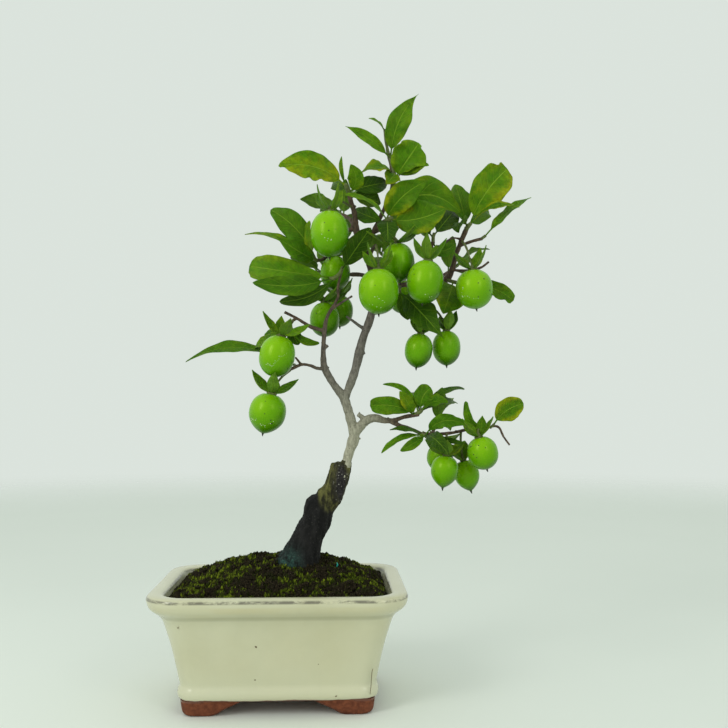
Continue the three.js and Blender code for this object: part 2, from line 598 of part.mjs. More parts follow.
function leafBody(rings) {
  const places = rings.flat().flatMap((p) => [p.x, p.y, p.z]);
  const faces = [];
  for (let i = 0; i + 1 < rings.length; i += 1) {
    const [a, b] = [i * 6, i * 6 + 6];
    const quads = [[0, 1, 0], [1, 2, 1], [2, 3, 0], [3, 4, 0], [4, 5, 1], [5, 0, 0]];
    for (const [from, to, split] of quads) {
      if (split === 0) {
        faces.push(a + from, b + from, b + to, a + from, b + to, a + to);
      } else {
        faces.push(a + from, b + from, a + to, a + to, b + from, b + to);
      }
    }
  }
  const last = (rings.length - 1) * 6;
  for (const [p, q, r] of [[0, 1, 4], [0, 4, 5], [1, 2, 3], [1, 3, 4]]) {
    faces.push(p, q, r);
    faces.push(last + p, last + r, last + q);
  }
  const geometry = new THREE.BufferGeometry();
  geometry.setAttribute('position', new THREE.Float32BufferAttribute(places, 3));
  geometry.setIndex(faces);
  return solid(geometry);
}

// A sepal is a cupped leafy flap with a keel below: rings of left edge, right edge and keel
function sepalSolid(base, tip, inward, width) {
  const chord = tip.clone().sub(base);
  const along = chord.clone().normalize();
  const up = inward.clone().addScaledVector(along, -inward.dot(along)).normalize();
  const side = new THREE.Vector3().crossVectors(up, along);
  const shape = [[0, 0.15, 0], [0.5, 0.5, 0.12], [1, 0.06, 0]];
  const rings = shape.map(([share, half, sag]) => {
    const middle = base.clone().addScaledVector(chord, share);
    middle.addScaledVector(up, -sag * chord.length());
    const edge = (sign) => middle.clone().addScaledVector(side, sign * half * width)
      .addScaledVector(up, 0.3 * half * width);
    const keel = middle.clone().addScaledVector(up, -SEPAL_THICKNESS * (sag > 0 ? 1 : 0.5));
    return [edge(1), edge(-1), keel];
  });
  return solid(loft(rings));
}

function makeCalyx(fruit, woodSpace, index) {
  const axis = fruitAxis(fruit);
  const seat = vector(fruit.at).addScaledVector(axis, FRUIT_TOP * fruit.half + GAP);
  const turn = new THREE.Quaternion().setFromUnitVectors(new THREE.Vector3(0, 0, 1), axis);
  const place = (x, y, z) => new THREE.Vector3(x, y, z).applyQuaternion(turn).add(seat);
  const hold = vector(fruit.hold);
  const bend = place(0, 0, 1).lerp(hold, 0.45).addScaledVector(axis, 0.16 * seat.distanceTo(hold));
  const parts = [rod([
    [...place(0, 0, 0), 0.27 * fruit.radius], [...place(0, 0, CALYX_THICKNESS), CALYX_RADIUS],
    [...bend, FRUIT_STALK_RADIUS], [...hold, STALK_END_RADIUS],
  ], STALK_SIDES)];
  const reach = SEPAL_LENGTH * Math.min(1, fruit.radius / 14);
  for (let k = 0; k < 4; k += 1) {
    const angle = (fruit.turn * Math.PI) / 180 + (k * Math.PI) / 2;
    const spread = fruit.spread + 0.15 * Math.sin(1.7 * (k + 2 * index));
    const [x, y] = [Math.cos(angle), Math.sin(angle)];
    const out = CALYX_RADIUS + reach * spread;
    const tip = place(x * out, y * out, reach * (1.05 - 0.55 * spread));
    const inward = place(-x, -y, SEPAL_START).sub(seat);
    inward.y -= SEPAL_TWIST * Math.abs(x);
    const start = place(CALYX_RADIUS * x, CALYX_RADIUS * y, SEPAL_START);
    parts.push(sepalSolid(start, tip, inward, SEPAL_WIDTH));
  }
  const whole = wasm.Manifold.union(parts).subtract(woodSpace);
  addMesh(`calyx_${String(index + 1).padStart(2, '0')}`, whole, sepals);
}

// Sprays: the shoot and its leaves in one body, fitted against the wood
function shootPoint(shoot, share) {
  const path = new THREE.CatmullRomCurve3(shoot.map(vector));
  return path.getPoint(share);
}

function makeSpray(name, shoot, leaves, woodSpace) {
  const parts = [rod(shoot, TWIG_SIDES)];
  leaves.forEach(([share, tip, width, letters, arch, ...form], k) => {
    const base = shootPoint(shoot, share);
    const phase = (0.618 * (k + name.length)) % 1;
    parts.push(leafSolid(base, vector(tip), width, faceVector(letters), arch, phase, ...form));
  });
  addMesh(name, wasm.Manifold.union(parts).subtract(woodSpace), foliage);
}

// A small seeded generator of numbers from 0 to 1
function seeded(seed) {
  let state = seed;
  return () => {
    state = (Math.imul(state, 1664525) + 1013904223) >>> 0;
    return state / 4294967296;
  };
}

// Leaves of a back spray stand round their shoot in a spiral and look up and outward
function backLeaves({ shoot, count = 5, length, seed }) {
  const random = seeded(seed);
  const start = vector(shoot[0]);
  const along = vector(shoot[1]).sub(start).normalize();
  const across = new THREE.Vector3(0, 0, 1).addScaledVector(along, -along.z).normalize();
  const other = new THREE.Vector3().crossVectors(along, across);
  const leaves = [];
  for (let k = 0; k < count; k += 1) {
    const share = (k + 0.6) / count;
    const angle = 2.4 * k + 0.5 * random();
    const reach = length * (0.8 + 0.35 * random());
    const open = k === count - 1 ? 0.25 : 1.05 - 0.3 * share;
    const tip = shootPoint(shoot, share).addScaledVector(along, reach * Math.cos(open));
    tip.addScaledVector(across, reach * Math.sin(open) * Math.cos(angle));
    tip.addScaledVector(other, reach * Math.sin(open) * Math.sin(angle));
    const width = reach * (0.4 + 0.08 * random());
    leaves.push([share, tip.toArray(), width, k % 2 === 0 ? 'UB' : 'U', 0.12]);
  }
  return leaves;
}

// The whole bonsai
const wood = makeWood(0);
const woodSpace = makeWood(GAP);
makePot();
makeScreens();
makeSoil(rod(TRUNK, TRUNK_SIDES, GAP));
addMesh('wood', wood, bark);
FRUITS.forEach((fruit, index) => {
  addMesh(`fruit_${String(index + 1).padStart(2, '0')}`, fruitSolid(fruit), skin);
  makeCalyx(fruit, woodSpace, index);
});
for (const [name, spray] of Object.entries(SPRAYS)) {
  makeSpray(name, spray.shoot, spray.leaves, woodSpace);
}
for (const [name, spray] of Object.entries(BACK_SPRAYS)) {
  makeSpray(name, spray.shoot, backLeaves(spray), woodSpace);
}

const box = new THREE.Box3().setFromObject(group);
const middle = box.getCenter(new THREE.Vector3());
group.position.set(-middle.x, -middle.y, -box.min.z);

export default group;
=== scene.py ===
# Princess persimmon bonsai: the finish of every surface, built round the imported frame.
# Places are in millimetres from the middle of the pot, at the height of its feet, and are turned
# into the frame's metres when a piece is made.
import math
import random
from collections import namedtuple

import bmesh
import bpy
import numpy as np
from mathutils import Euler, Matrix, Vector, noise


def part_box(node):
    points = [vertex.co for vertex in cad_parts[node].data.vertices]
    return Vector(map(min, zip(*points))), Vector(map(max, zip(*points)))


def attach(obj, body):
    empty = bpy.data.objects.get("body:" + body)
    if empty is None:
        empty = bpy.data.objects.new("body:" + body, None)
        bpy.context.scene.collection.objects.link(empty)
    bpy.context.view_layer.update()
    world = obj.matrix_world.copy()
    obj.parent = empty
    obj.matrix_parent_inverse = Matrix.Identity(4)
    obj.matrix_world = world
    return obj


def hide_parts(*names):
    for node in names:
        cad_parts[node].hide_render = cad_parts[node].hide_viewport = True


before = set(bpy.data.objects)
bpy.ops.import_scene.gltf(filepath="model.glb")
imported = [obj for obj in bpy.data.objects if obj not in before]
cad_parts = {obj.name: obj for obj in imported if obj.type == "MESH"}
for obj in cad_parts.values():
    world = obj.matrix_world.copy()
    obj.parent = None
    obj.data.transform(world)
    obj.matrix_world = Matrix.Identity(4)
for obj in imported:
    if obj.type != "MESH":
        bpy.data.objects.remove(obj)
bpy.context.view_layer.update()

MM = 0.001
pot_low, pot_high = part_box("pot")
ORIGIN = np.array([(pot_low.x + pot_high.x) / 2, (pot_low.y + pot_high.y) / 2, pot_low.z])

# Driving dimensions, the same as the solids have
POT_HALF_WIDTH = 100
POT_HALF_DEPTH = 76
POT_CORNER = 26
FOOT_CORNER = 9
POT_FLOOR = 20
DRAIN_RADIUS = 8
DRAIN_PLACES = (-42, 42)
SOIL_EDGE = 86
SOIL_PEAK = 109
SOIL_CENTRE = (6, 14)
SOIL_REACH = 1.3
SOIL_POWER = 0.8
SEPAL_WIDTH = 10.5
SEPAL_LENGTH = 24
SEPAL_TWIST = 1.2
FRUIT_TOP = 0.95
CLEARANCE = 1.8
EASE = 0.3
STALK = 0.14
STALK_RADIUS = 0.7
FOLD = 0.3
WAVE = 0.09
WIDEST = 0.52
SHARP = 0.62
TIP_START = 0.5
TIP_POWER = 1.4
TIP_SHARE = 0.45

# Seeds of the random draws
COVER_SEED = 41
KNOT_SEED = 17
FRUIT_SEED = 100
CALYX_SEED = 300


def table(text):
    """Rows of numbers: a comma ends a row."""
    return [[float(number) for number in row.split()] for row in text.split(",")]


def leaf_table(text):
    """Leaves: rows of numbers in which the way a leaf faces and its tone are words."""
    leaves = []
    for row in text.split(","):
        share, x, y, z, width, letters, arch, tone, *form = row.split()
        tip = (float(x), float(y), float(z))
        leaves.append((float(share), tip, float(width), letters, float(arch), tone, *map(float, form)))
    return leaves


def named(text, read=table):
    """Named tables: a colon ends the name and a semicolon the table."""
    entries = (entry.split(":") for entry in text.split(";"))
    return {name.strip(): read(body) for name, body in entries}


# Pot walls from the underside to the rim and down inside: height and inset from the rim's edge
OUTER_WALL = table("""
    11 27, 11.3 25.4, 12.6 23.6, 14.5 22.8, 17 22.5, 19.5 22.9, 21 23.7, 22.6 24.2, 24.5 23.9,
    28 23.1, 34 21.9, 41 20.4, 49 18.6, 57 16.5, 65 14.1, 70 12.6, 73.5 11.3, 76 9.8, 78 8, 79.6 6,
    81 4.2, 82.6 2.6, 84.5 1.5, 87 0.6, 90 0.1, 92 0.7, 93 2.2
""")
INNER_WALL = table("""
    93.2 6.5, 93 9.2, 92.5 11, 91.4 12.3, 90 13.1, 87 14.3, 84 15.5, 78 17.6, 70 20, 30 30,
    22 32.5, 20 36
""")
# Feet from the top down: height, length along the width and the depth, and inset
FOOT_STEPS = table("""
    12 50 35 25, 10.5 48.6 34 25.2, 8.5 45 31.6 25.5, 6 39 28.4 25.8, 4 34.6 25.6 26.1,
    2.2 31 23.2 26.5, 0.8 28.4 21.2 27.2, 0 27 20 28
""")

# Wood, each stretch a table of points x, y, z and radius
TRUNK = table("""
    11 -5 62 14, 14 -6 84 17, 15 -6 104 17.6, 17 -5 115 15.4, 22 -3 129 12.8, 28 0 141 12,
    31 2 151 12.2, 31.5 2 158 10.8
""")
TRUNK_TOP = table("""
    30 2 146 10, 38 2 159 10.2, 43 2 167 8.8, 45 2 174 8.3, 48 2 187 7.4
""")
TRUNK_CORE = table("45 2 165 5.4, 51 2 179 5, 54 2 190 4.4")
ROOTS = named("""
front: 8 -10 114 7, 5 -18 107 6, 4 -25 99 3.5;
front_left: 4 -6 112 5, -3 -9 106 4, -8 -12 99 3;
right: 24 -6 110 6, 33 -8 103 4, 40 -8 95 3;
back: 18 8 112 7, 20 18 104 5, 22 26 96 3;
back_left: 4 6 112 6, -5 12 104 4.5, -12 16 95 3
""")
STEMS = named("""
left: 45 2 165 5, 51 2 179 4.6, 55 2 195 4.3, 60 2 212 4.8, 58 1 221 4.2, 54 0 235 3.8, 51 0 243 4,
    42 -4 255 3.1, 35 -7 268 3, 34 -8 277 2.2, 35 -10 298 1.9, 37 -12 309 1.5, 46 -11 326 1.2,
    46 -11 334 1.2, 50 -10 352 1.1;
leader: 51 0 240 3.6, 60 0 264 3.6, 67 3 292 3.5, 74 4 312 3.4, 76 5 328 3.2, 75 6 347 3,
    70 6 364 2.8, 64 5 378 3, 60 4 390 3.2;
right: 59 2 211 4, 65 1 219 4, 70 0 224 3.8, 77 -2 226 3.5, 85 -4 224 2.6, 92 -6 224 2,
    101 -10 227 1.6, 113 -14 229 1.6
""")
TWIGS = named("""
right_stub: 70 0 223 2.5, 66 1 227 2.2, 63 1 229 2;
right_low: 88 -5 224 1.8, 97 -8 220 1.6, 104 -9 218 1.5, 111 -10 215 1.5, 115 -10 213 1.6,
    122 -9 213 1.5, 132 -8 213 1.4, 142 -8 214 1.4, 156 -9 217 1.3, 165 -10 217 1.2,
    178 -12 219 1.1, 183 -12 210.5 0.8, 188 -12 203.6 0.8;
left_side: 40 -12 315 1.1, 50 -12 322 1, 58 -11 327 0.9;
low_twig: 35 -7 267 1.6, 29 -9 267 1.4, 24 -11 269 1.3, 17 -14 270 1.2, 12 -16 268 1.2,
    6 -18 265 1.2;
low_spur: 16 -14 270 1, 11 -15 276 0.9;
up_twig: 35 -9 298 1.6, 24 -11 301 1.5, 17 -13 305 1.4, 12 -14 308 1.3, 2 -15 313 1.3;
up_twig_down: 12 -14 308 1.2, 7 -17 304 1.1, 2 -20 298 1.1, 0 -21 295 1.1;
leader_twig: 69 3 300 1.3, 59 0 307 1.1, 53 -2 311 1;
front_twig: 72 6 357 1.8, 74 -6 365 1.6, 77 -19 368 1.5;
right_limb: 75 5 321 2.6, 85 8 332 2.4, 99 12 339 2.2, 114 16 341 2.2, 128 18 341 2.4,
    141 17 346 2.8, 145 14 355 2.3, 148 10 367 2.1, 152 6 378 2, 156 3 388 2.2;
hang_twig: 112 16 341 1.7, 120 12 330 1.5, 125 6 320 1.4;
mid_twig: 128 18 341 1.9, 126 8 356 1.7, 124 -2 367 1.6, 126 -5 374 1.6;
side_twig: 151 7 373 1.5, 160 3 376 1.3, 169 0 378 1.3;
arc_twig: 152 6 378 1.1, 145 4 379 0.9, 139 1 376 0.9, 134 -2 371 0.9, 128 -3 361 0.9;
limb_stub: 145 14 353 1.3, 156 10 352 1.2, 168 6 354 1.1, 175 5 359 1;
centre: 66 6 373 2.6, 75 4 382 2.4, 82 0 389 2.2, 88 -4 392 2.3;
top: 76 3 383 2.1, 85 6 403 1.8, 92 8 421 1.7, 92 8 438 1.4, 89 7 451 1.2, 87 6 463 1.1,
    86 5 471 1;
left_top: 61 4 387 2.6, 60 0 398 2.3, 57 -4 407 2, 54 -8 417 1.8;
left_mid: 70 6 362 2, 58 26 372 1.7, 42 22 368 1.5, 32 8 360 1.4, 28 -2 358 1.4;
back_left: 75 6 344 2.2, 66 24 350 1.9, 52 36 352 1.7, 38 42 354 1.5;
back_mid: 74 6 352 2, 84 24 360 1.8, 92 40 366 1.6;
back_top: 60 4 389 2, 56 18 398 1.7, 50 30 404 1.5;
back_centre: 76 3 383 1.9, 88 18 390 1.7, 98 32 394 1.5;
back_right: 132 18 342 1.9, 138 32 350 1.7, 146 44 356 1.5;
branch_back: 124 -9 213 1.5, 128 4 218 1.3, 132 15 222 1.2;
knot_left: 61 4 386 2.2, 52 6 385 1.9;
knot_right: 66 5 375 2, 72 1 372 1.7;
nub: 35 -8 284 1.6, 38 -9 286 1.2;
nub_leader: 64 2 278 1.6, 69 1 281 1.2
""")

# Fruits: middle, radius, half height, sideways lean of the top, where the stalk is held, the turn
# of the calyx in degrees, how far its sepals spread
FRUITS = [(row[:3], *row[3:6], row[6:9], *row[9:]) for row in table("""
    39 -34 374 15.3 19 0 58 -2 403 40 0.45, 44 9 349 12.6 14.6 0 69 6 367 50 0.9,
    78 -40 327 15.9 18.4 0 77 -18 368 45 0.5, 96 -12 355 13.4 16.4 -0.08 80 1 387 30 1,
    116 -32 336 14.6 17.8 0.14 124 -2 367 65 0.45, 158 -20 332 15.1 16.5 -0.1 152 6 377 40 0.6,
    35 6 309 12.4 14.8 0 46 -11 330 30 0.8, 48 30 319 11.6 14 0 56 33 351 45 0.7,
    113 -8 282 11.4 14.6 0.14 120 12 330 60 0.5, 138 4 285 11.8 15 0 125 6 321 15 0.45,
    -3 -28 276 14.2 17 0.2 2 -20 298 15 0.7, -11 -22 230 14.8 16.6 0.22 7 -18 265 0 0.7,
    163 -26 198 12.3 13.6 -0.25 164 -10 217 50 0.55, 132 -24 183 11 13.4 0.12 136 -8 213 80 0.7,
    154 -2 178 10.4 13.3 -0.25 148 -8 215 45 0.45, 132 4 192 11 12.4 0.1 127 -8 213 45 0.9,
    104 46 334 12.6 15.4 -0.1 91 38 365 0 0.6
""")]

# Leaf tones: how yellow the margin is, how yellow the whole blade is, and its lightness, which is
# partly the leaf's own tone and partly painted shade for leaves that sit deep in the crown
LEAF_TONES_AND_PAINTED_SHADE = {
    "dark": (0.05, 0.0, 0.12),
    "deep": (0.1, 0.05, 0.28),
    "plain": (0.22, 0.1, 0.47),
    "light": (0.3, 0.18, 0.68),
    "gold": (0.85, 0.4, 0.66),
    "yellow": (0.7, 0.72, 0.8),
    "edge": (1.0, 0.18, 0.42),
}

# Shoots of the sprays as points, and their leaves as place along the shoot, tip, width, the way
# the upper face looks (F front, B back, L left, R right, U up), how high the midrib arches and the
# tone; then, where they aren't the usual ones, the sideways sway, the widest place and how far the
# tip is drawn out
SHOOTS = named("""
spray_top: 92 8 421 1.6, 94 4 428 1.7, 94 3 434 1.6, 91 5 446 1.5, 89 4 452 1.3, 86.5 3.6 463 1.1,
    85.5 3.5 472 0.9;
spray_front: 85 -2 390 1.9, 88 -5 392 2.3, 91 -8 393 1.7;
spray_left_top: 56 -6 413 1.7, 53 -11 418 1.9, 52 -13 420 1.4;
spray_left_mid: 29 1 358 1.4, 26 -5 359 1.7, 24 -7 361 1.4;
spray_left_low: 50 -10 351 1.5, 47 -12 345 1.6, 42 -14 341 1.7, 39 -15 341 1.4;
spray_right_top: 155 3 386 1.9, 157 1 389 2.1, 159 0 391 1.6;
spray_right: 168 0 378 1.2, 171 -2 380 1.2;
spray_right_mid: 126 -4 372 1.6, 126 -6 378 1.6, 127 -6 381 1.3;
spray_right_low: 140 17 345 1.9, 146 10 342 1.7, 149 8 341 1.4;
spray_low_centre: 99 12 339 1.8, 98 5 334 1.7, 98 1 332 1.4;
spray_branch_hub: 108 -12 228 1.7, 113 -14 231 2, 115 -15 233 1.5;
spray_branch_low: 114 -10 213 1.7, 117 -14 212 1.7, 118 -16 212 1.3;
spray_branch_tip: 172 -11 218 1.2, 175 -13 221 1.3;
leaf_left_long: 12 -15 268 1.3, 10 -4 270 1.3;
spray_left_cluster: 9 -16 306 1.4, 6 -13 301 1.4, 5 -12 298 1.2
""")
LEAVES = named("""
spray_top: 0.5 115 2 503 20 F 0.06 light 0.1 0.44 1.0,
    0.53 52 -4 472 11 F 0.12 light -0.03 0.52 0.95, 0.2 114 -8 457 31 F 0.05 light 0 0.56 0.1,
    0.17 122 -10 438 11 FU 0.1 light 0.05 0.6, 0.33 86 -10 421 16 F 0.1 gold 0.05 0.42,
    0.25 64 -6 431 17 UF 0.24 gold 0 0.52 0.9, 0.98 72 -4 479 5 FU 0.12 light;
spray_front: 0.1 118 -30 419 24 F 0.06 edge 0.09 0.52 0.5,
    0.5 149 -8 398 30 F 0.08 plain 0.28 0.52 0.6, 0.6 134 -24 398 29 F 0.08 edge -0.1,
    0.3 86 -31 368 19 F 0.12 dark, 0.4 45 -24 409 10 UF 0.14 light 0 0.52 1.0,
    0.15 60 14 405 15 F 0.1 deep 0.05;
spray_left_top: 0.5 -3 -26 431 24 F 0.1 yellow -0.11 0.5 0.3, 0.7 49 -8 445 4 F 0.05 light 0.08,
    0.1 56 -22 434 15 F 0.06 light -0.2, 0.2 89 12 428 17 F 0.08 dark,
    0.3 42 14 430 12 FL 0.1 deep, 0.1 83 8 409 15 F 0.06 dark;
spray_left_mid: 0.15 -11 0 401 23 F 0.06 plain -0.08 0.58,
    0.05 -4 -34 372 17 F 0.12 plain 0.05 0.52 0.9, 0.2 -33 6 382 9 UF 0.12 yellow 0 0.7 1.0,
    0.5 22 -14 389 10 FL 0.08 gold 0 0.6;
spray_left_low: 0.6 -28 -8 352 24 F 0.1 light 0.02 0.76 0.15,
    0.95 -22 -38 334 18 F 0.07 deep 0.08 0.52 0.35, 0.6 -2 -20 321 14 F 0.1 dark 0.13 0.6,
    0.15 73 -17 383 20 F 0.06 dark;
spray_right_top: 0.5 146 -14 380 16 FL 0.3 dark, 0.2 148 17 429 20 F 0.05 plain,
    0.8 189 -8 436 32 F 0.05 gold 0.07 0.68 0.1, 0.95 196 -20 401 11 UF 0.14 edge 0.07 0.6 1.0,
    0.3 176 26 418 19 FR 0.1 plain;
spray_right: 0.9 209 -6 413 14 FLU 0.1 light -0.07 0.52 1.0;
spray_right_mid: 0.6 147 14 405 20 F 0.06 dark, 0.1 144 -14 371 12 F 0.12 deep -0.35 0.56,
    0.4 112 16 399 16 F 0.1 dark;
spray_right_low: 0.4 134 -8 313 33 F 0.08 gold 0 0.6 0.8,
    0.9 195 0 325 14 F 0.12 plain 0.08 0.7 0.15, 0.6 170 26 322 16 F 0.1 deep;
spray_low_centre: 0.7 132 -29 290 24 F 0.08 dark 0 0.46 1.0, 0.4 106 8 309 14 F 0.1 dark,
    0.3 76 16 315 13 F 0.1 deep 0 0.6;
spray_branch_hub: 0.1 72 -20 236 16.5 F 0.1 plain -0.1 0.7 0.2,
    0.4 83 -8 254 5 F 0.1 light -0.2 0.6, 0.9 135 -26 239 13 FU 0.1 plain 0.1,
    0.8 123 -12 251 18 F 0.06 plain 0.16 0.56 0.2, 0.6 154 6 251 7 UF 0.12 dark 0.05 0.66,
    0.6 149 14 239 9 UF 0.1 dark 0 0.6, 0.6 110 14 248 12 F 0.08 deep,
    0.15 96 -24 248 11 F 0.08 gold;
spray_branch_low: 0.9 150 -28 221 13 F 0.1 plain 0.22, 0.2 88 -22 217 6 UF 0.1 dark,
    0.5 81 -20 198 7 UF 0.12 light -0.06 0.56, 0.8 96 -30 200 9 F 0.1 plain 0 0.6,
    0.95 132 -51 198 13 F 0.1 dark 0.05, 0.9 147 -33 206 5 F 0.06 dark 0 0.7;
spray_branch_tip: 0.9 199 -16 238 20 F 0.05 edge 0.12 0.56 0.1,
    0.1 151 -18 240 8 F 0.06 light 0.3 0.74;
leaf_left_long: 0.8 -79 -12 273 13 UF 0.1 plain -0.1 0.66 0.9;
spray_left_cluster: 0.6 14 -14 286 13 F 0.08 dark, 0.3 31 -10 288 7 F 0.1 plain -0.2 0.62,
    0.8 -23 -8 284 10 UF 0.12 light 0.1 0.6, 0.95 -16 4 293 11 F 0.1 plain
""", leaf_table)

# Back sprays: the shoot, how many leaves it has, their length and the seed of their rule
BACK_SPRAYS = {
    "spray_back_top": (table("52 27 402 1.4, 47 38 408 1.2"), 5, 38, 11),
    "spray_back_left": (table("41 41 353 1.4, 24 44 356 1.2"), 5, 36, 23),
    "spray_back_mid": (table("90 37 365 1.5, 84 46 374 1.2"), 5, 38, 31),
    "spray_back_centre": (table("96 30 393 1.4, 106 42 402 1.2"), 5, 38, 43),
    "spray_back_right": (table("144 42 355 1.4, 156 54 364 1.2"), 5, 34, 57),
    "spray_branch_back": (table("131 12 221 1.1, 136 24 228 1"), 4, 28, 61),
}
# Bites and notches of single leaves: place along the blade, side, depth as a share of the half
# width, and length
NICKS = {
    ("spray_top", 2): table("0.93 -1 0.55 0.05, 0.7 1 0.08 0.04"),
    ("spray_left_top", 0): table("0.93 1 0.6 0.05, 0.5 1 0.2 0.05, 0.3 1 0.25 0.05"),
    ("spray_left_low", 0): table("0.96 1 0.3 0.03, 0.97 -1 0.3 0.03"),
    ("spray_right_top", 2): table("0.9 1 0.35 0.05"),
    ("spray_right_low", 1): table("0.85 -1 0.3 0.05, 0.6 -1 0.15 0.04"),
    ("spray_front", 2): table("0.5 -1 0.12 0.04, 0.75 -1 0.15 0.04"),
    ("spray_front", 1): table("0.85 1 0.25 0.06"),
    ("spray_branch_low", 0): table("0.75 1 0.2 0.05, 0.45 -1 0.2 0.05"),
}
FACES = {"F": (0, -1, 0), "B": (0, 1, 0), "L": (-1, 0, 0), "R": (1, 0, 0), "U": (0, 0, 1)}

# Camera, at the place and lens that the photo was taken with
CAMERA_PLACE = (37.5, -728, 235.5)
CAMERA_TURN = 2.4
CAMERA_RISE = 2.8
IMAGE_SIDE = 728
FOCAL_PIXELS = 871
SENSOR = 36
CLIP_START = 0.01


def show(name, data):
    """An object of the scene that holds the data."""
    item = bpy.data.objects.new(name, data)
    bpy.context.scene.collection.objects.link(item)
    return item


def add_camera():
    data = bpy.data.cameras.new("camera")
    data.sensor_width = SENSOR
    data.lens = FOCAL_PIXELS / IMAGE_SIDE * SENSOR
    data.clip_start = CLIP_START
    camera = show("camera", data)
    camera.location = Vector(np.array(CAMERA_PLACE) * MM + ORIGIN)
    camera.rotation_euler = Euler((math.radians(90 + CAMERA_RISE), 0, math.radians(-CAMERA_TURN)))
    bpy.context.scene.camera = camera


class Graph:
    """A material whose shader nodes are wired by value or by socket."""

    def __init__(self, name):
        self.material = bpy.data.materials.new(name)
        self.material.use_nodes = True
        self.tree = self.material.node_tree
        self.shader = self.tree.nodes["Principled BSDF"]

    def feed(self, socket, value):
        if isinstance(value, bpy.types.NodeSocket):
            self.tree.links.new(value, socket)
        elif value is not None:
            socket.default_value = value

    def node(self, kind, inputs=(), **settings):
        node = self.tree.nodes.new("ShaderNode" + kind)
        for key, value in settings.items():
            setattr(node, key, value)
        for key, value in dict(inputs).items():
            self.feed(node.inputs[key], value)
        return node

    def math(self, operation, a, b=None, c=None):
        return self.node("Math", {0: a, 1: b, 2: c}, operation=operation).outputs[0]

    def times(self, a, b):
        return self.math("MULTIPLY", a, b)

    def far(self, value, centre):
        """How far a value is from a number."""
        return self.math("ABSOLUTE", self.math("SUBTRACT", value, centre))

    def between(self, value, low, high, to_low=0.0, to_high=1.0):
        inputs = {"Value": value, "From Min": low, "From Max": high, "To Min": to_low, "To Max": to_high}
        return self.node("MapRange", inputs, interpolation_type="SMOOTHSTEP").outputs[0]

    def mix(self, share, a, b):
        node = self.node("Mix", data_type="RGBA")
        self.feed(node.inputs[0], share)
        self.feed(node.inputs[6], (*a, 1) if isinstance(a, tuple) else a)
        self.feed(node.inputs[7], (*b, 1) if isinstance(b, tuple) else b)
        return node.outputs[2]

    def ramp(self, value, low, high, a, b, share=1.0):
        """One colour that turns into another as a value goes from low to high."""
        return self.mix(self.between(value, low, high, 0.0, share), a, b)

    def tint(self, colour, mask, share, other):
        """A colour with a share of another where the mask is 1."""
        return self.mix(self.times(mask, share), colour, other)

    def places(self, stretch=(1, 1, 1)):
        source = self.node("TexCoord").outputs["Object"]
        return self.node("Mapping", {"Vector": source, "Scale": stretch}).outputs[0]

    def split_places(self):
        return self.node("SeparateXYZ", {0: self.places()}).outputs

    def noise(self, scale, detail=3, rough=0.5, stretch=(1, 1, 1)):
        place = self.places(stretch)
        inputs = {"Vector": place, "Scale": scale, "Detail": detail, "Roughness": rough}
        return self.node("TexNoise", inputs).outputs[0]

    def cells(self, scale, feature="F1"):
        inputs = {"Vector": self.places(), "Scale": scale}
        return self.node("TexVoronoi", inputs, feature=feature).outputs[0]

    def attribute(self, name):
        source = self.node("Attribute", attribute_name=name).outputs["Color"]
        return self.node("SeparateColor", {0: source}).outputs

    def bump(self, height, distance, strength=1.0):
        inputs = {"Height": height, "Distance": distance, "Strength": strength}
        self.feed(self.shader.inputs["Normal"], self.node("Bump", inputs).outputs[0])

    def finish(self, colour, rough, **values):
        self.feed(self.shader.inputs["Base Color"], colour)
        self.feed(self.shader.inputs["Roughness"], rough)
        for key, value in values.items():
            self.shader.inputs[key.replace("_", " ")].default_value = value
        return self.material


LEAF_DARK = (0.012, 0.055, 0.002)
LEAF_MID = (0.05, 0.18, 0.002)
LEAF_LIGHT = (0.13, 0.34, 0.004)
LEAF_YELLOW = (0.32, 0.36, 0.003)
LEAF_UNDER = (0.13, 0.24, 0.03)
LEAF_VEIN = (0.24, 0.42, 0.03)
LEAF_RUST = (0.06, 0.035, 0.01)
LEAF_GLOSS = (0.8, 1.0, 0.25, 1.0)
VEIN_PAIRS = 7
VEIN_SLANT = 0.26
VEIN_OFFSET = 0.4


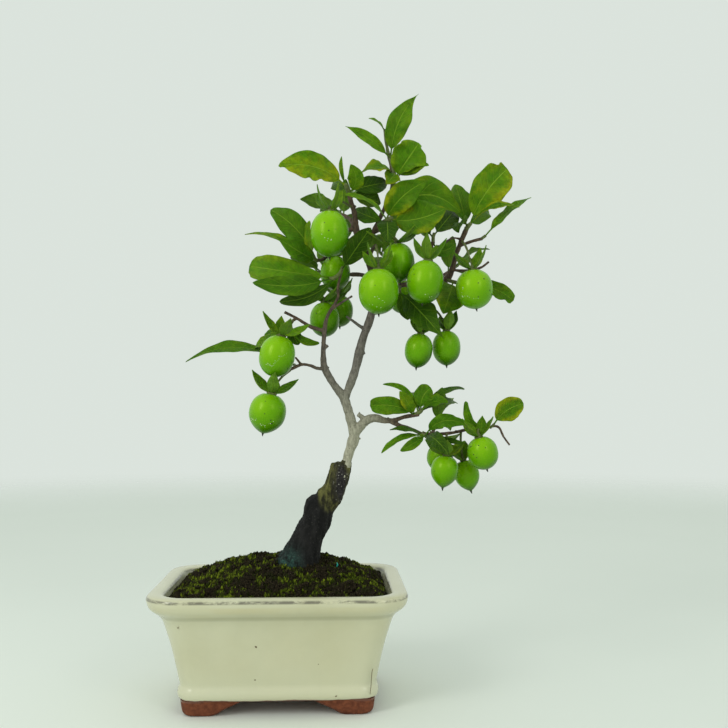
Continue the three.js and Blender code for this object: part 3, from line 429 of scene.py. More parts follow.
def leaf_material(name, lift=0.0):
    g = Graph(name)
    uv = g.node("SeparateXYZ", {0: g.node("UVMap").outputs[0]}).outputs
    tone = g.attribute("tone")
    under = g.attribute("side")[0]
    across = g.math("ABSOLUTE", g.math("MULTIPLY_ADD", uv[1], 2.0, -1.0))
    half = g.times(g.math("GREATER_THAN", uv[1], 0.5), VEIN_OFFSET)
    sweep = g.math("MULTIPLY_ADD", across, -VEIN_SLANT * VEIN_PAIRS, g.times(uv[0], VEIN_PAIRS))
    wave = g.math("PINGPONG", g.math("ADD", sweep, half), 0.5)
    vein = g.times(g.between(wave, 0.07, 0.0), g.between(across, 0.95, 0.6))
    lines = g.math("MAXIMUM", g.between(across, 0.055, 0.02), g.times(vein, 0.6))
    mottle = g.noise(90, 4, 0.6)
    mesh = g.between(g.cells(900, "DISTANCE_TO_EDGE"), 0.0, 0.12)
    # Lightness: the leaf's own tone, partly painted shade for leaves in the crown's shadow, with mottling
    light = g.math("ADD", g.math("MULTIPLY_ADD", mottle, 0.5, -0.25 + lift), tone[2])
    green = g.ramp(light, 0.0, 0.5, LEAF_DARK, LEAF_MID)
    green = g.ramp(light, 0.5, 1.0, green, LEAF_LIGHT)
    patches = g.between(g.noise(42, 2), 0.4, 0.62)
    rim = g.times(g.between(g.math("MULTIPLY_ADD", mottle, 0.9, across), 0.85, 1.4), patches)
    blade = g.times(tone[1], g.between(mottle, 0.3, 0.75))
    yellow = g.math("ADD", g.times(rim, tone[0]), blade)
    colour = g.mix(g.math("MINIMUM", yellow, 0.95), green, LEAF_YELLOW)
    colour = g.tint(colour, g.math("SUBTRACT", 1.0, mesh), 0.12, LEAF_VEIN)
    colour = g.tint(colour, under, 0.55, LEAF_UNDER)
    colour = g.tint(colour, g.between(g.noise(260, 4, 0.65), 0.35, 0.65), 0.38, LEAF_DARK)
    colour = g.tint(colour, lines, 0.72, LEAF_VEIN)
    colour = g.tint(colour, g.between(g.noise(420, 2), 0.73, 0.78), 0.6, LEAF_RUST)
    rough = g.math("ADD", g.between(mottle, 0.2, 0.8, 0.32, 0.48), g.times(under, 0.2))
    g.bump(g.math("SUBTRACT", g.times(mesh, 0.3), lines), 0.0006, 0.9)
    return g.finish(
        colour, rough, Subsurface_Weight=0.15, Subsurface_Radius=(0.4, 1.0, 0.05),
        Subsurface_Scale=0.0008, Specular_IOR_Level=0.35, Specular_Tint=LEAF_GLOSS,
    )


# Fruit greens: the painted shaded side, the middle, the painted lit side, and the pale dots
FRUIT_SHADED_GREEN = (0.022, 0.1, 0.0004)
FRUIT_GREEN = (0.11, 0.33, 0.0008)
FRUIT_LIT_GREEN = (0.21, 0.47, 0.003)
FRUIT_PALE_DOT = (0.34, 0.58, 0.03)
FRUIT_GLOSS = (0.95, 1.0, 0.3, 1.0)


def fruit_material():
    g = Graph("fruit_skin")
    soft = g.noise(45, 3, 0.55)
    # Painted light: the attribute makes the side of each fruit that faces the key light lighter and the far
    # side darker; each fruit's ripeness and soft noise are added on top
    ripeness_and_painted_light = g.math("ADD", g.attribute("sunny")[0], g.math("MULTIPLY_ADD", soft, 0.5, -0.25))
    colour = g.ramp(ripeness_and_painted_light, 0.0, 0.55, FRUIT_SHADED_GREEN, FRUIT_GREEN)
    colour = g.ramp(ripeness_and_painted_light, 0.5, 1.05, colour, FRUIT_LIT_GREEN)
    dots = g.cells(1500)
    colour = g.ramp(dots, 0.22, 0.1, colour, FRUIT_PALE_DOT, 0.2)
    rough = g.between(g.noise(300, 3, 0.6), 0.3, 0.7, 0.2, 0.3)
    g.bump(g.math("MULTIPLY_ADD", dots, 0.2, soft), 0.0002, 0.35)
    return g.finish(
        colour, rough, Subsurface_Weight=0.12, Subsurface_Radius=(0.5, 1.0, 0.05),
        Subsurface_Scale=0.002, Specular_IOR_Level=0.36, Specular_Tint=FRUIT_GLOSS,
    )


# Small plain surfaces: darker and lighter colour, grain, roughness, depth of the grain, gloss
PLAIN_SURFACES = {
    "bare_clay": ((0.1, 0.024, 0.009), (0.21, 0.06, 0.025), 260, 0.75, 0.0004, 0.3),
    "glaze_speck": ((0.09, 0.06, 0.025), (0.16, 0.11, 0.05), 800, 0.4, 0.0001, 0.5),
    "green_shoot": ((0.07, 0.075, 0.018), (0.14, 0.19, 0.04), 500, 0.6, 0.0003, 0.5),
    "dark_speck": ((0.008, 0.01, 0.004), (0.02, 0.02, 0.008), 900, 0.6, 0.0001, 0.5),
    "pale_scratch": ((0.5, 0.6, 0.32), (0.72, 0.8, 0.52), 800, 0.4, 0.0001, 0.5),
    "blue_green": ((0.01, 0.3, 0.24), (0.05, 0.6, 0.48), 800, 0.4, 0.0001, 0.5),
    "screen_plastic": ((0.012, 0.013, 0.014), (0.03, 0.03, 0.032), 600, 0.55, 0.0003, 0.5),
}


def plain_material(name):
    dark, light, scale, rough, depth, gloss = PLAIN_SURFACES[name]
    g = Graph(name)
    grain = g.noise(scale, 6, 0.65)
    g.bump(grain, depth, 0.8)
    return g.finish(g.ramp(grain, 0.3, 0.7, dark, light), rough, Specular_IOR_Level=gloss)


# Levels of the glaze in metres above the feet: where the upright wall ends under the lip, the
# crease there with its line of painted shade, the painted shade under the lip, the worn line of the
# rim, the inner wall's part painted with shade and how far it reaches up and down, and the glaze's lower edge
UPRIGHT = (0.082, 0.076)
CREASE = 0.0772
LIP = (0.088, 0.086, 0.08, 0.084)
WORN_LINE = 0.0909
INNER_SHADE_LEVEL, INNER_SHADE_REACH = 0.085, 0.0065
INNER_SHADE_HALF_WIDTH = (0.0892, 0.087)
INNER_SHADE_HALF_DEPTH = (0.0652, 0.063)
GLAZE_EDGE = (0.0105, 0.0099)


def glaze_material():
    g = Graph("glaze")
    x, y, height = g.split_places()
    colour = g.ramp(g.noise(16, 4, 0.6), 0.3, 0.7, (0.555, 0.535, 0.355), (0.625, 0.605, 0.42))
    colour = g.ramp(height, 0.045, 0.015, colour, (0.64, 0.64, 0.47), 0.7)
    streak = g.between(g.noise(160, 3, 0.6, (1, 1, 0.06)), 0.45, 0.75, 0.0, 0.08)
    colour = g.tint(colour, g.between(height, *UPRIGHT), streak, (0.48, 0.48, 0.35))
    for scale, detail, share, tone in (
        (7, 3, 0.4, (0.64, 0.57, 0.29)), (11, 3, 0.5, (0.64, 0.65, 0.5)), (30, 2, 0.1, (0.42, 0.43, 0.34)),
    ):
        colour = g.ramp(g.noise(scale, detail), 0.2, 0.85, colour, tone, share)
    # Painted shade on the inner wall under the rim, broken into patches like stains
    wide = g.between(g.far(x, ORIGIN[0]), *INNER_SHADE_HALF_WIDTH)
    deep = g.between(g.far(y, ORIGIN[1]), *INNER_SHADE_HALF_DEPTH)
    level = g.math("LESS_THAN", g.far(height, INNER_SHADE_LEVEL), INNER_SHADE_REACH)
    inside = g.times(g.times(wide, deep), level)
    inner_painted_shade = g.times(inside, g.between(g.noise(90, 5, 0.75), 0.38, 0.6, 0.2, 1.0))
    colour = g.tint(colour, inner_painted_shade, 0.6, (0.2, 0.21, 0.16))
    # Painted shade in the band under the lip, tinted ochre and broken up by noise
    under_lip = g.times(g.between(height, *LIP[:2]), g.between(height, *LIP[2:]))
    lip_painted_shade = g.times(under_lip, g.between(g.noise(22, 3, 0.6), 0.3, 0.8))
    colour = g.tint(colour, lip_painted_shade, 0.3, (0.55, 0.43, 0.15))
    # Painted shade: a darker line along the crease under the lip
    crease_painted_shade = g.between(g.far(height, CREASE), 0.0028, 0.0006)
    colour = g.tint(colour, crease_painted_shade, 0.4, (0.34, 0.33, 0.2))
    worn = g.between(g.far(height, WORN_LINE), 0.0018, 0.0004)
    patchy = g.between(g.noise(62, 6, 0.8, (1, 1, 3)), 0.38, 0.58)
    colour = g.tint(colour, g.times(worn, patchy), 0.85, (0.11, 0.1, 0.075))
    wave = g.math("MULTIPLY_ADD", g.noise(38, 3, 0.6), -0.005, height)
    colour = g.ramp(wave, *GLAZE_EDGE, colour, (0.15, 0.04, 0.018))
    g.bump(g.noise(12, 0), 0.0005, 0.4)
    return g.finish(colour, 0.27, Coat_Weight=0.3, Coat_Roughness=0.12)


def old_bark_material():
    g = Graph("old_bark")
    olive_share, teal_share, hollow_share = g.attribute("zone")
    ridge = g.noise(130, 8, 0.7, (1.6, 1.6, 0.5))
    grit = g.noise(700, 5, 0.7)
    black = g.ramp(ridge, 0.35, 0.7, (0.002, 0.002, 0.002), (0.015, 0.014, 0.014))
    olive = g.ramp(ridge, 0.38, 0.66, (0.014, 0.013, 0.005), (0.15, 0.145, 0.042))
    teal = g.ramp(grit, 0.35, 0.65, (0.008, 0.03, 0.027), (0.035, 0.1, 0.08))
    hollow = g.ramp(grit, 0.4, 0.7, (0.01, 0.009, 0.01), (0.07, 0.06, 0.06))
    colour = g.mix(olive_share, black, olive)
    colour = g.tint(colour, teal_share, g.between(ridge, 0.35, 0.6), teal)
    colour = g.mix(hollow_share, colour, hollow)
    speck = g.times(g.between(g.cells(420), 0.26, 0.14), g.between(g.noise(200, 2), 0.42, 0.52))
    dense = g.math("MULTIPLY_ADD", hollow_share, 0.75, 0.05)
    colour = g.tint(colour, speck, dense, (0.5, 0.48, 0.42))
    g.bump(g.math("MULTIPLY_ADD", grit, 0.4, ridge), 0.0014, 0.9)
    return g.finish(colour, 0.82, Specular_IOR_Level=0.25)


def young_bark_material():
    g = Graph("young_bark")
    grey_share, low_share, _ = g.attribute("zone")
    grain = g.noise(420, 6, 0.65, (1.4, 1.4, 0.5))
    rings = g.noise(240, 3, 0.6, (0.6, 0.6, 1.6))
    grey, low, brown = (g.ramp(grain, 0.3, 0.7, dark, light) for dark, light in (
        ((0.068, 0.06, 0.052), (0.165, 0.15, 0.13)), ((0.25, 0.24, 0.175), (0.47, 0.455, 0.34)),
        ((0.03, 0.018, 0.01), (0.13, 0.08, 0.045)),
    ))
    grey = g.mix(low_share, grey, low)
    grey = g.ramp(rings, 0.6, 0.68, grey, (0.06, 0.05, 0.035), 0.35)
    colour = g.mix(grey_share, brown, grey)
    colour = g.tint(colour, g.between(g.cells(700), 0.2, 0.1), 0.3, (0.42, 0.37, 0.28))
    colour = g.tint(colour, g.between(g.cells(190), 0.13, 0.08), 0.8, (0.03, 0.024, 0.018))
    g.bump(grain, 0.0002, 0.7)
    return g.finish(colour, 0.75)


def soil_material():
    g = Graph("soil")
    grain = g.noise(900, 5, 0.7)
    colour = g.ramp(grain, 0.35, 0.68, (0.004, 0.0035, 0.002), (0.042, 0.031, 0.016))
    colour = g.ramp(g.noise(120, 3, 0.6), 0.5, 0.7, colour, (0.02, 0.03, 0.004), 0.5)
    colour = g.tint(colour, g.between(g.cells(520), 0.16, 0.1), 0.5, (0.3, 0.25, 0.17))
    g.bump(grain, 0.001, 1.0)
    return g.finish(colour, 0.95, Specular_IOR_Level=0.1)


def moss_material():
    g = Graph("moss")
    fresh, bright, dry = g.attribute("tone")
    grain = g.noise(1400, 3, 0.6)
    colour = g.mix(fresh, (0.006, 0.008, 0.001), (0.062, 0.092, 0.005))
    colour = g.tint(colour, bright, 0.85, (0.2, 0.25, 0.014))
    colour = g.ramp(dry, 0.7, 0.9, colour, (0.05, 0.036, 0.012), 0.75)
    colour = g.ramp(grain, 0.4, 0.7, colour, (0.015, 0.02, 0.003), 0.4)
    g.bump(grain, 0.0004, 0.8)
    return g.finish(colour, 0.9, Specular_IOR_Level=0.1)


# Floor and light: a pale round floor that fades out, and two windows in a pale room
FLOOR_REACH = 2.6
FLOOR_SIDES = 64
FLOOR_LEVEL = -0.0004
ROOM_COLOUR = (0.71, 0.77, 0.72, 1)
LIGHT_TARGET = (0, 0, 0.3)
LIGHTS = {
    "window_left": ((-0.85, -0.8, 0.85), (0.4, 0.7), 4.8, (1.0, 1.0, 0.96)),
    "window_right": ((0.6, -0.95, 0.75), (0.25, 0.6), 1.5, (1.0, 0.99, 0.93)),
}


def floor_material():
    g = Graph("pale_floor")
    x, y, _ = g.split_places()
    reach = g.math("SQRT", g.math("ADD", g.math("POWER", x, 2.0), g.math("POWER", y, 2.0)))
    g.feed(g.shader.inputs["Alpha"], g.between(reach, FLOOR_REACH, 0.5 * FLOOR_REACH))
    return g.finish(g.mix(g.noise(3, 2), (0.78, 0.82, 0.77), (0.81, 0.85, 0.8)), 0.8)


def add_floor():
    ring = [
        (FLOOR_REACH * math.cos(a), FLOOR_REACH * math.sin(a), FLOOR_LEVEL) for a in turns(FLOOR_SIDES)
    ]
    floor = new_piece("floor", ring, [tuple(range(FLOOR_SIDES))])
    floor.data.materials.append(floor_material())


def add_lights():
    world = bpy.data.worlds.new("studio")
    world.use_nodes = True
    world.node_tree.nodes["Background"].inputs["Color"].default_value = ROOM_COLOUR
    world.node_tree.nodes["Background"].inputs["Strength"].default_value = 1.0
    bpy.context.scene.world = world
    for name, (place, size, power, colour) in LIGHTS.items():
        data = bpy.data.lights.new(name, "AREA")
        data.shape = "RECTANGLE"
        data.size, data.size_y = size
        data.energy = power
        data.color = colour
        light = show(name, data)
        light.location = place
        light.rotation_euler = (Vector(LIGHT_TARGET) - Vector(place)).to_track_quat("-Z", "Y").to_euler()


def new_piece(name, points, faces):
    """An object of the scene with a mesh, whose points are taken as they are."""
    mesh = bpy.data.meshes.new(name)
    mesh.from_pydata(np.asarray(points, float).tolist(), [], faces)
    return show(name, mesh)


def in_frame(points):
    """Points in millimetres turned into the frame's metres."""
    return np.asarray(points, float) * MM + ORIGIN


def add_piece(name, points, faces, materials, slot, replaced=(), indices=None, layers=None, uv=None):
    """A finished piece, with the material of each face and what is stored at each point."""
    piece = new_piece(name, in_frame(points), faces)
    mesh = piece.data
    for material in materials:
        mesh.materials.append(material)
    if indices is not None:
        mesh.polygons.foreach_set("material_index", indices)
    for layer, values in (layers or {}).items():
        colours = np.ones((len(points), 4), np.float32)
        colours[:, :3] = values
        data = mesh.attributes.new(layer, "FLOAT_COLOR", "POINT")
        data.data.foreach_set("color", colours.ravel())
    if uv is not None:
        corners = np.empty(len(mesh.loops), np.int32)
        mesh.loops.foreach_get("vertex_index", corners)
        layer = mesh.uv_layers.new(name="UVMap")
        layer.data.foreach_set("uv", np.asarray(uv, np.float32)[corners].ravel())
    mesh.shade_smooth()
    mesh.update()
    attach(piece, "root")
    if replaced:
        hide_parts(*replaced)


class Shape:
    """A growing mesh: points, faces and what is stored at each point and face."""

    def __init__(self):
        self.points = []
        self.faces = []
        self.indices = []
        self.layers = {}
        self.uv = []

    def add(self, points, faces, index=0, uv=None, **layers):
        start = sum(len(part) for part in self.points)
        points = np.asarray(points, float).reshape(-1, 3)
        self.points.append(points)
        self.faces += [tuple(start + k for k in face) for face in faces]
        self.indices += [index] * len(faces)
        self.uv.append(np.zeros((len(points), 2)) if uv is None else uv)
        for key, value in layers.items():
            self.layers.setdefault(key, []).append(np.broadcast_to(value, (len(points), 3)))

    def make(self, name, materials, slot, replaced=()):
        layers = {key: np.concatenate(parts) for key, parts in self.layers.items()}
        add_piece(
            name, np.concatenate(self.points), self.faces, materials, slot, replaced,
            self.indices, layers, np.concatenate(self.uv),
        )


def strip_faces(rows, columns, around=True):
    faces = []
    for i in range(rows - 1):
        for j in range(columns if around else columns - 1):
            k = (j + 1) % columns
            faces.append((i * columns + j, i * columns + k, (i + 1) * columns + k, (i + 1) * columns + j))
    return faces


def stacked(rings):
    """A closed body through rings of points: its points and faces."""
    rings = np.array(rings)
    count, columns = rings.shape[:2]
    last = (count - 1) * columns
    ends = [tuple(range(columns - 1, -1, -1)), tuple(range(last, last + columns))]
    return rings.reshape(-1, 3), strip_faces(count, columns) + ends


def turns(count, start=0.0):
    """Angles once round a circle."""
    return [start + 2 * math.pi * k / count for k in range(count)]


def unit(v):
    return v / np.linalg.norm(v)


def fade(value):
    """A share that goes from 1 down to 0 as the value goes up past 0."""
    return 1 / (1 + np.exp(value))


def lumps(x, y, level, scale):
    """Smooth noise from -1 to 1 over a flat place; each level has its own pattern."""
    return noise.noise(Vector((x, y, level)) * scale)


def wavy(points, scale, seed=0.0):
    """Smooth noise from -1 to 1 at each point."""
    return np.array([noise.noise(Vector(p) * scale + Vector((seed, 1.7 * seed, 0))) for p in points])


def curve_point(points, share):
    """A point of the centripetal curve through points, for a share of the way counted in points."""
    points = np.asarray(points, float)
    last = len(points) - 1
    at = min(int(share * last), last - 1)
    t = share * last - at
    before = points[at - 1] if at > 0 else 2 * points[0] - points[1]
    after = points[at + 2] if at + 2 <= last else 2 * points[last] - points[last - 1]
    a, b = points[at], points[at + 1]
    steps = [max(np.linalg.norm((q - p)[:3]), 1e-3) ** 0.5 for p, q in ((before, a), (a, b), (b, after))]
    leave = (a - before) / steps[0] - (b - before) / (steps[0] + steps[1]) + (b - a) / steps[1]
    arrive = (b - a) / steps[1] - (after - a) / (steps[1] + steps[2]) + (after - b) / steps[2]
    leave, arrive = leave * steps[1], arrive * steps[1]
    square, cube = 3 * (b - a) - 2 * leave - arrive, 2 * (a - b) + leave + arrive
    return a + leave * t + square * t * t + cube * t ** 3


def tube(points, sides, step=2.0, rough=0.0, seed=0):
    """A rod along the smooth curve through points, whose fourth number is the radius."""
    points = np.asarray(points, float)
    length = np.linalg.norm(np.diff(points[:, :3], axis=0), axis=1).sum()
    count = max(3, int(length / step) + 1)
    path = np.array([curve_point(points, k / (count - 1)) for k in range(count)])
    places, radii = path[:, :3], path[:, 3]
    along = np.gradient(places, axis=0)
    across = np.array([0.3, 1, 0.2])
    rings = []
    for k in range(count):
        axis = unit(along[k])
        across = unit(across - axis * across.dot(axis))
        other = np.cross(axis, across)
        swell = 1 + rough * noise.noise(Vector((seed * 7.3, k * step * 0.22, 3.1)))
        swell += 1.6 * rough * max(0, noise.noise(Vector((seed * 3.1, k * step * 0.09, 9.4)))) ** 2
        rings.append([
            places[k] + radii[k] * swell * (across * math.cos(a) + other * math.sin(a)) for a in turns(sides)
        ])
    caps = []
    for end, sign, ring in ((0, -1, rings[0]), (count - 1, 1, rings[-2])):
        middle, axis = places[end], unit(along[end]) * sign
        caps.append([middle + 0.55 * (p - middle) + axis * 0.45 * radii[end] for p in ring])
    return stacked([caps[0], *rings, caps[1]])


def fused(name, shape, voxel, smooth):
    """The shape's overlapping bodies as one closed skin of small faces: points, normals and faces."""
    piece = new_piece(name, np.concatenate(shape.points), shape.faces)
    remesh = piece.modifiers.new("fuse", "REMESH")
    remesh.mode = "VOXEL"
    remesh.voxel_size = voxel
    relax = piece.modifiers.new("relax", "SMOOTH")
    relax.iterations = smooth
    relax.factor = 0.5
    seen = piece.evaluated_get(bpy.context.evaluated_depsgraph_get()).to_mesh()
    values = []
    for key in ("co", "normal"):
        flat = np.empty(len(seen.vertices) * 3, np.float32)
        seen.vertices.foreach_get(key, flat)
        values.append(flat.reshape(-1, 3).astype(float))
    faces = [tuple(face.vertices) for face in seen.polygons]
    piece.to_mesh_clear()
    mesh = piece.data
    bpy.data.objects.remove(piece)
    bpy.data.meshes.remove(mesh)
    return *values, faces


# Pot
DRAIN_SIDES = 32
DRAIN_LEVELS = (5, 24)
CLAY_TOP = 11.2
SHARP_EDGE = 50


def rounded_ring(half_x, half_y, radius, z, steps, centre=(0, 0)):
    ring = []
    for corner, (sx, sy) in enumerate(((1, 1), (-1, 1), (-1, -1), (1, -1))):
        for k in range(steps + 1):
            angle = math.pi / 2 * (corner + k / steps)
            x = centre[0] + sx * (half_x - radius) + radius * math.cos(angle)
            y = centre[1] + sy * (half_y - radius) + radius * math.sin(angle)
            ring.append((x, y, z))
    return ring


def spread_ring(ring, pieces):
    """The ring with its four straight sides split, so that the wall can bend a little."""
    points = []
    corner = len(ring) // 4
    for index, (a, b) in enumerate(zip(ring, ring[1:] + ring[:1])):
        a, b = np.array(a), np.array(b)
        parts = pieces if index % corner == corner - 1 else 1
        points += [a + (b - a) * k / parts for k in range(parts)]
    return points


def wall_ring(z, inset):
    radius = max(POT_CORNER - 0.5 * inset, 6)
    ring = rounded_ring(POT_HALF_WIDTH - inset, POT_HALF_DEPTH - inset, radius, z, 8)
    return spread_ring(ring, 14)


def wall_swell(points):
    """How far the wall bends outward at each point, as a pressed pot's wall does."""
    return 0.45 * wavy(np.asarray(points) * (1, 1, 0.6), 0.018, 2.0)


def join_solids(piece, other, operation):
    cut = piece.modifiers.new(operation.lower(), "BOOLEAN")
    cut.operation = operation
    cut.object = other
    cut.solver = "EXACT"
    seen = piece.evaluated_get(bpy.context.evaluated_depsgraph_get())
    mesh = bpy.data.meshes.new_from_object(seen)
    piece.modifiers.clear()
    old = piece.data
    piece.data = mesh
    bpy.data.meshes.remove(old)
    bpy.data.objects.remove(other)


def foot_rings(sx, sy):
    rings = []
    for z, length_x, length_y, inset in reversed(FOOT_STEPS):
        centre = (
            sx * (POT_HALF_WIDTH - inset - length_x / 2), sy * (POT_HALF_DEPTH - inset - length_y / 2),
        )
        ring = rounded_ring(length_x / 2, length_y / 2, FOOT_CORNER, z, 6, centre)
        rings.append(spread_ring(ring, 4))
    return rings


def make_pot():
    rings = np.array([wall_ring(z, inset) for z, inset in OUTER_WALL + INNER_WALL])
    points, faces = stacked(rings)
    outward = points * (1, 1, 0)
    outward = outward / np.linalg.norm(outward, axis=1)[:, None]
    pot = new_piece("pot_glazed", in_frame(points + outward * wall_swell(points)[:, None]), faces)
    for sx, sy in ((-1, -1), (-1, 1), (1, -1), (1, 1)):
        points, faces = stacked(foot_rings(sx, sy))
        join_solids(pot, new_piece("foot", in_frame(points), faces), "UNION")
    for x in DRAIN_PLACES:
        ring = [(x + DRAIN_RADIUS * math.cos(a), DRAIN_RADIUS * math.sin(a)) for a in turns(DRAIN_SIDES)]
        points, faces = stacked([[(*place, z) for place in ring] for z in DRAIN_LEVELS])
        join_solids(pot, new_piece("drain", in_frame(points), faces), "DIFFERENCE")
    for material in (glaze_material(), plain_material("bare_clay")):
        pot.data.materials.append(material)
    for face in pot.data.polygons:
        face.material_index = int(face.center.z < ORIGIN[2] + CLAY_TOP * MM)
        face.use_smooth = True
    part_corners(pot)
    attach(pot, "root")
    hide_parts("pot")


def part_corners(piece):
    """Keeps the normals of sharp corners apart."""
    mesh = bmesh.new()
    mesh.from_mesh(piece.data)
    for edge in mesh.edges:
        if len(edge.link_faces) == 2 and edge.calc_face_angle() > math.radians(SHARP_EDGE):
            edge.smooth = False
    mesh.to_mesh(piece.data)
    mesh.free()


# Brown specks and a hairline in the glaze of the front wall: side place, height, radius
GLAZE_SPECKS = table("-73.7 70.3 0.5, -16 54.5 0.8, -17 28.2 0.55, 44.5 15.4 0.6, 31 40 0.35")
HAIRLINE = table("72.5 36 0.2, 71.9 33.4 0.3, 71.4 27 0.25, 71.2 22.2 0.3, 70.4 16.5 0.2")
GLAZE_SPECK_SIDES = 9


def front_wall(x, z, proud):
    """The point of the front wall at a side place and height, so far proud of the glaze."""
    heights, insets = zip(*OUTER_WALL[4:])
    y = np.interp(z, heights, insets) - POT_HALF_DEPTH
    return np.array([x, y - wall_swell([(x, y, z)])[0] - proud, z])


def make_pot_marks():
    marks = Shape()
    for x, z, radius in GLAZE_SPECKS:
        rings = []
        for proud, wide in ((-0.4, 1.0), (0.08, 1.0), (0.14, 0.4)):
            rings.append([])
            for angle in turns(GLAZE_SPECK_SIDES):
                size = radius * wide * (1 + 0.25 * math.sin(2 * angle + x))
                spot = front_wall(x + size * math.cos(angle), z + size * math.sin(angle), proud)
                rings[-1].append(spot)
        marks.add(*stacked(rings))
    line = [(*front_wall(x, z, -0.08), radius) for x, z, radius in HAIRLINE]
    marks.add(*tube(line, 6, 1.0))
    marks.make("pot_marks", [plain_material("glaze_speck")], "glaze")


# Soil: the pot's inner wall beside its edge and the gap to it, the corner of its edge, and the
# rings of its buried part as height and inset from the rim
WALL_HEIGHTS, WALL_INSETS = (84, 91.5), (15.6, 12.6)
WALL_GAP = 0.3
SOIL_CORNER = 18.5
BURIED_SOIL = ((POT_FLOOR + WALL_GAP, 36.5), (31, 30.4), (78, 18.2))
# Moss: places where it grows thicker, x, y and reach
MOSS_PATCHES = ((-55, -20, 26), (-38, 8, 20), (62, -18, 24), (22, -42, 16), (-62, 40, 24), (60, 40, 26))


def wobble(x, y):
    return 1.3 * math.sin(0.19 * x + 0.6) * math.cos(0.23 * y) + 0.9 * math.sin(0.37 * x - 0.31 * y)


def soil_half_widths():
    """Half width and half depth of the soil at its edge height."""
    inset = np.interp(SOIL_EDGE, WALL_HEIGHTS, WALL_INSETS) + WALL_GAP
    return POT_HALF_WIDTH - inset, POT_HALF_DEPTH - inset


def soil_top(x, y):
    """Height of the soil at a place, from the same rings as the solid's mound."""
    half_x, half_y = soil_half_widths()
    cx, cy = SOIL_CENTRE
    dx, dy = x - cx, y - cy
    if abs(dx) + abs(dy) < 1e-6:
        return SOIL_PEAK + wobble(x, y)
    to_x = ((half_x if dx > 0 else -half_x) - cx) / dx if dx else 1e9
    to_y = ((half_y if dy > 0 else -half_y) - cy) / dy if dy else 1e9
    edge = min(abs(to_x), abs(to_y))
    ex, ey = cx + dx * edge, cy + dy * edge
    corner = math.hypot(ex / half_x, ey / half_y) - 1
    reach = 1 / edge
    share = 1 - reach
    for _ in range(6):
        share = 1 - reach * (1 + max(0.0, corner) * min(1, 2 * max(share, 0)))
    share = max(0.0, min(share, 0.95))
    rise = math.sin(math.pi / 2 * min(1, share * SOIL_REACH)) ** SOIL_POWER
    return SOIL_EDGE + (SOIL_PEAK - SOIL_EDGE) * rise + wobble(x, y) * min(1, 10 * share)


def make_soil():
    half_x, half_y = soil_half_widths()
    edge = np.array(spread_ring(rounded_ring(half_x, half_y, SOIL_CORNER, SOIL_EDGE, 8), 24))
    rings = []
    for z, inset in BURIED_SOIL:
        scale = np.array([(POT_HALF_WIDTH - inset) / half_x, (POT_HALF_DEPTH - inset) / half_y, 0])
        rings.append(edge * scale + (0, 0, z))
    for share in [*np.linspace(0, 0.94, 60), 0.985]:
        ring = edge * (1, 1, 0) * (1 - share) + np.array([*SOIL_CENTRE, 0]) * share
        heights = np.array([soil_top(x, y) for x, y in ring[:, :2]])
        spots = np.column_stack([ring[:, :2], heights])
        bumps = 0.9 * wavy(spots, 0.35) + 0.6 * wavy(spots, 0.9, 5.0)
        rings.append(spots + np.array([0, 0, 1]) * (bumps * min(1, 14 * share))[:, None])
    add_piece("soil_bed", *stacked(rings), [soil_material()], "soil", ["soil"])


def moss_share(x, y):
    """How mossy the soil is at a place: clumps a few millimetres wide, denser at the sides."""
    near = max(math.exp(-((x - a) ** 2 + (y - b) ** 2) / r ** 2) for a, b, r in MOSS_PATCHES)
    clumps = 0.7 * lumps(x, y, 14, 0.22) + 0.7 * lumps(x, y, 6, 0.11)
    return 0.28 + 0.45 * near + 1.2 * clumps + 0.3 * lumps(x, y, 2, 0.6)


def clump_height(x, y):
    """How far the crumbs and tufts heap up or sink at a place."""
    return 2.3 * lumps(x, y, 3, 0.26) + 1.5 * lumps(x, y, 9, 0.55)


def on_soil(x, y):
    """Whether a place is on the soil, clear of the pot's wall and of the trunk."""
    half_x, half_y = soil_half_widths()
    inside = abs(x) < half_x - COVER_MARGIN and abs(y) < half_y - COVER_MARGIN
    away = [max(0, abs(at) - half + SOIL_CORNER) for at, half in ((x, half_x), (y, half_y))]
    corner = math.hypot(*away) < SOIL_CORNER - COVER_MARGIN
    return inside and corner and math.hypot(x - TRUNK_FOOT_X, y) > TRUNK_FOOT_RADIUS


COVER_COUNT, QUICK_COVER_COUNT = 24000, 9000
COVER_HALF_WIDTH, COVER_HALF_DEPTH = 85, 61
COVER_MARGIN = 1.2
TRUNK_FOOT_X, TRUNK_FOOT_RADIUS = 15.5, 15.2
TUFT_SIDES = 5
CRUMB = ((1, 0, 0), (-1, 0, 0), (0, 1, 0), (0, -1, 0), (0, 0, 1), (0, 0, -1))
CRUMB_FACES = ((4, 0, 2), (4, 2, 1), (4, 1, 3), (4, 3, 0), (5, 2, 0), (5, 1, 2), (5, 3, 1), (5, 0, 3))
FLECK_PLACE = (46, -13)


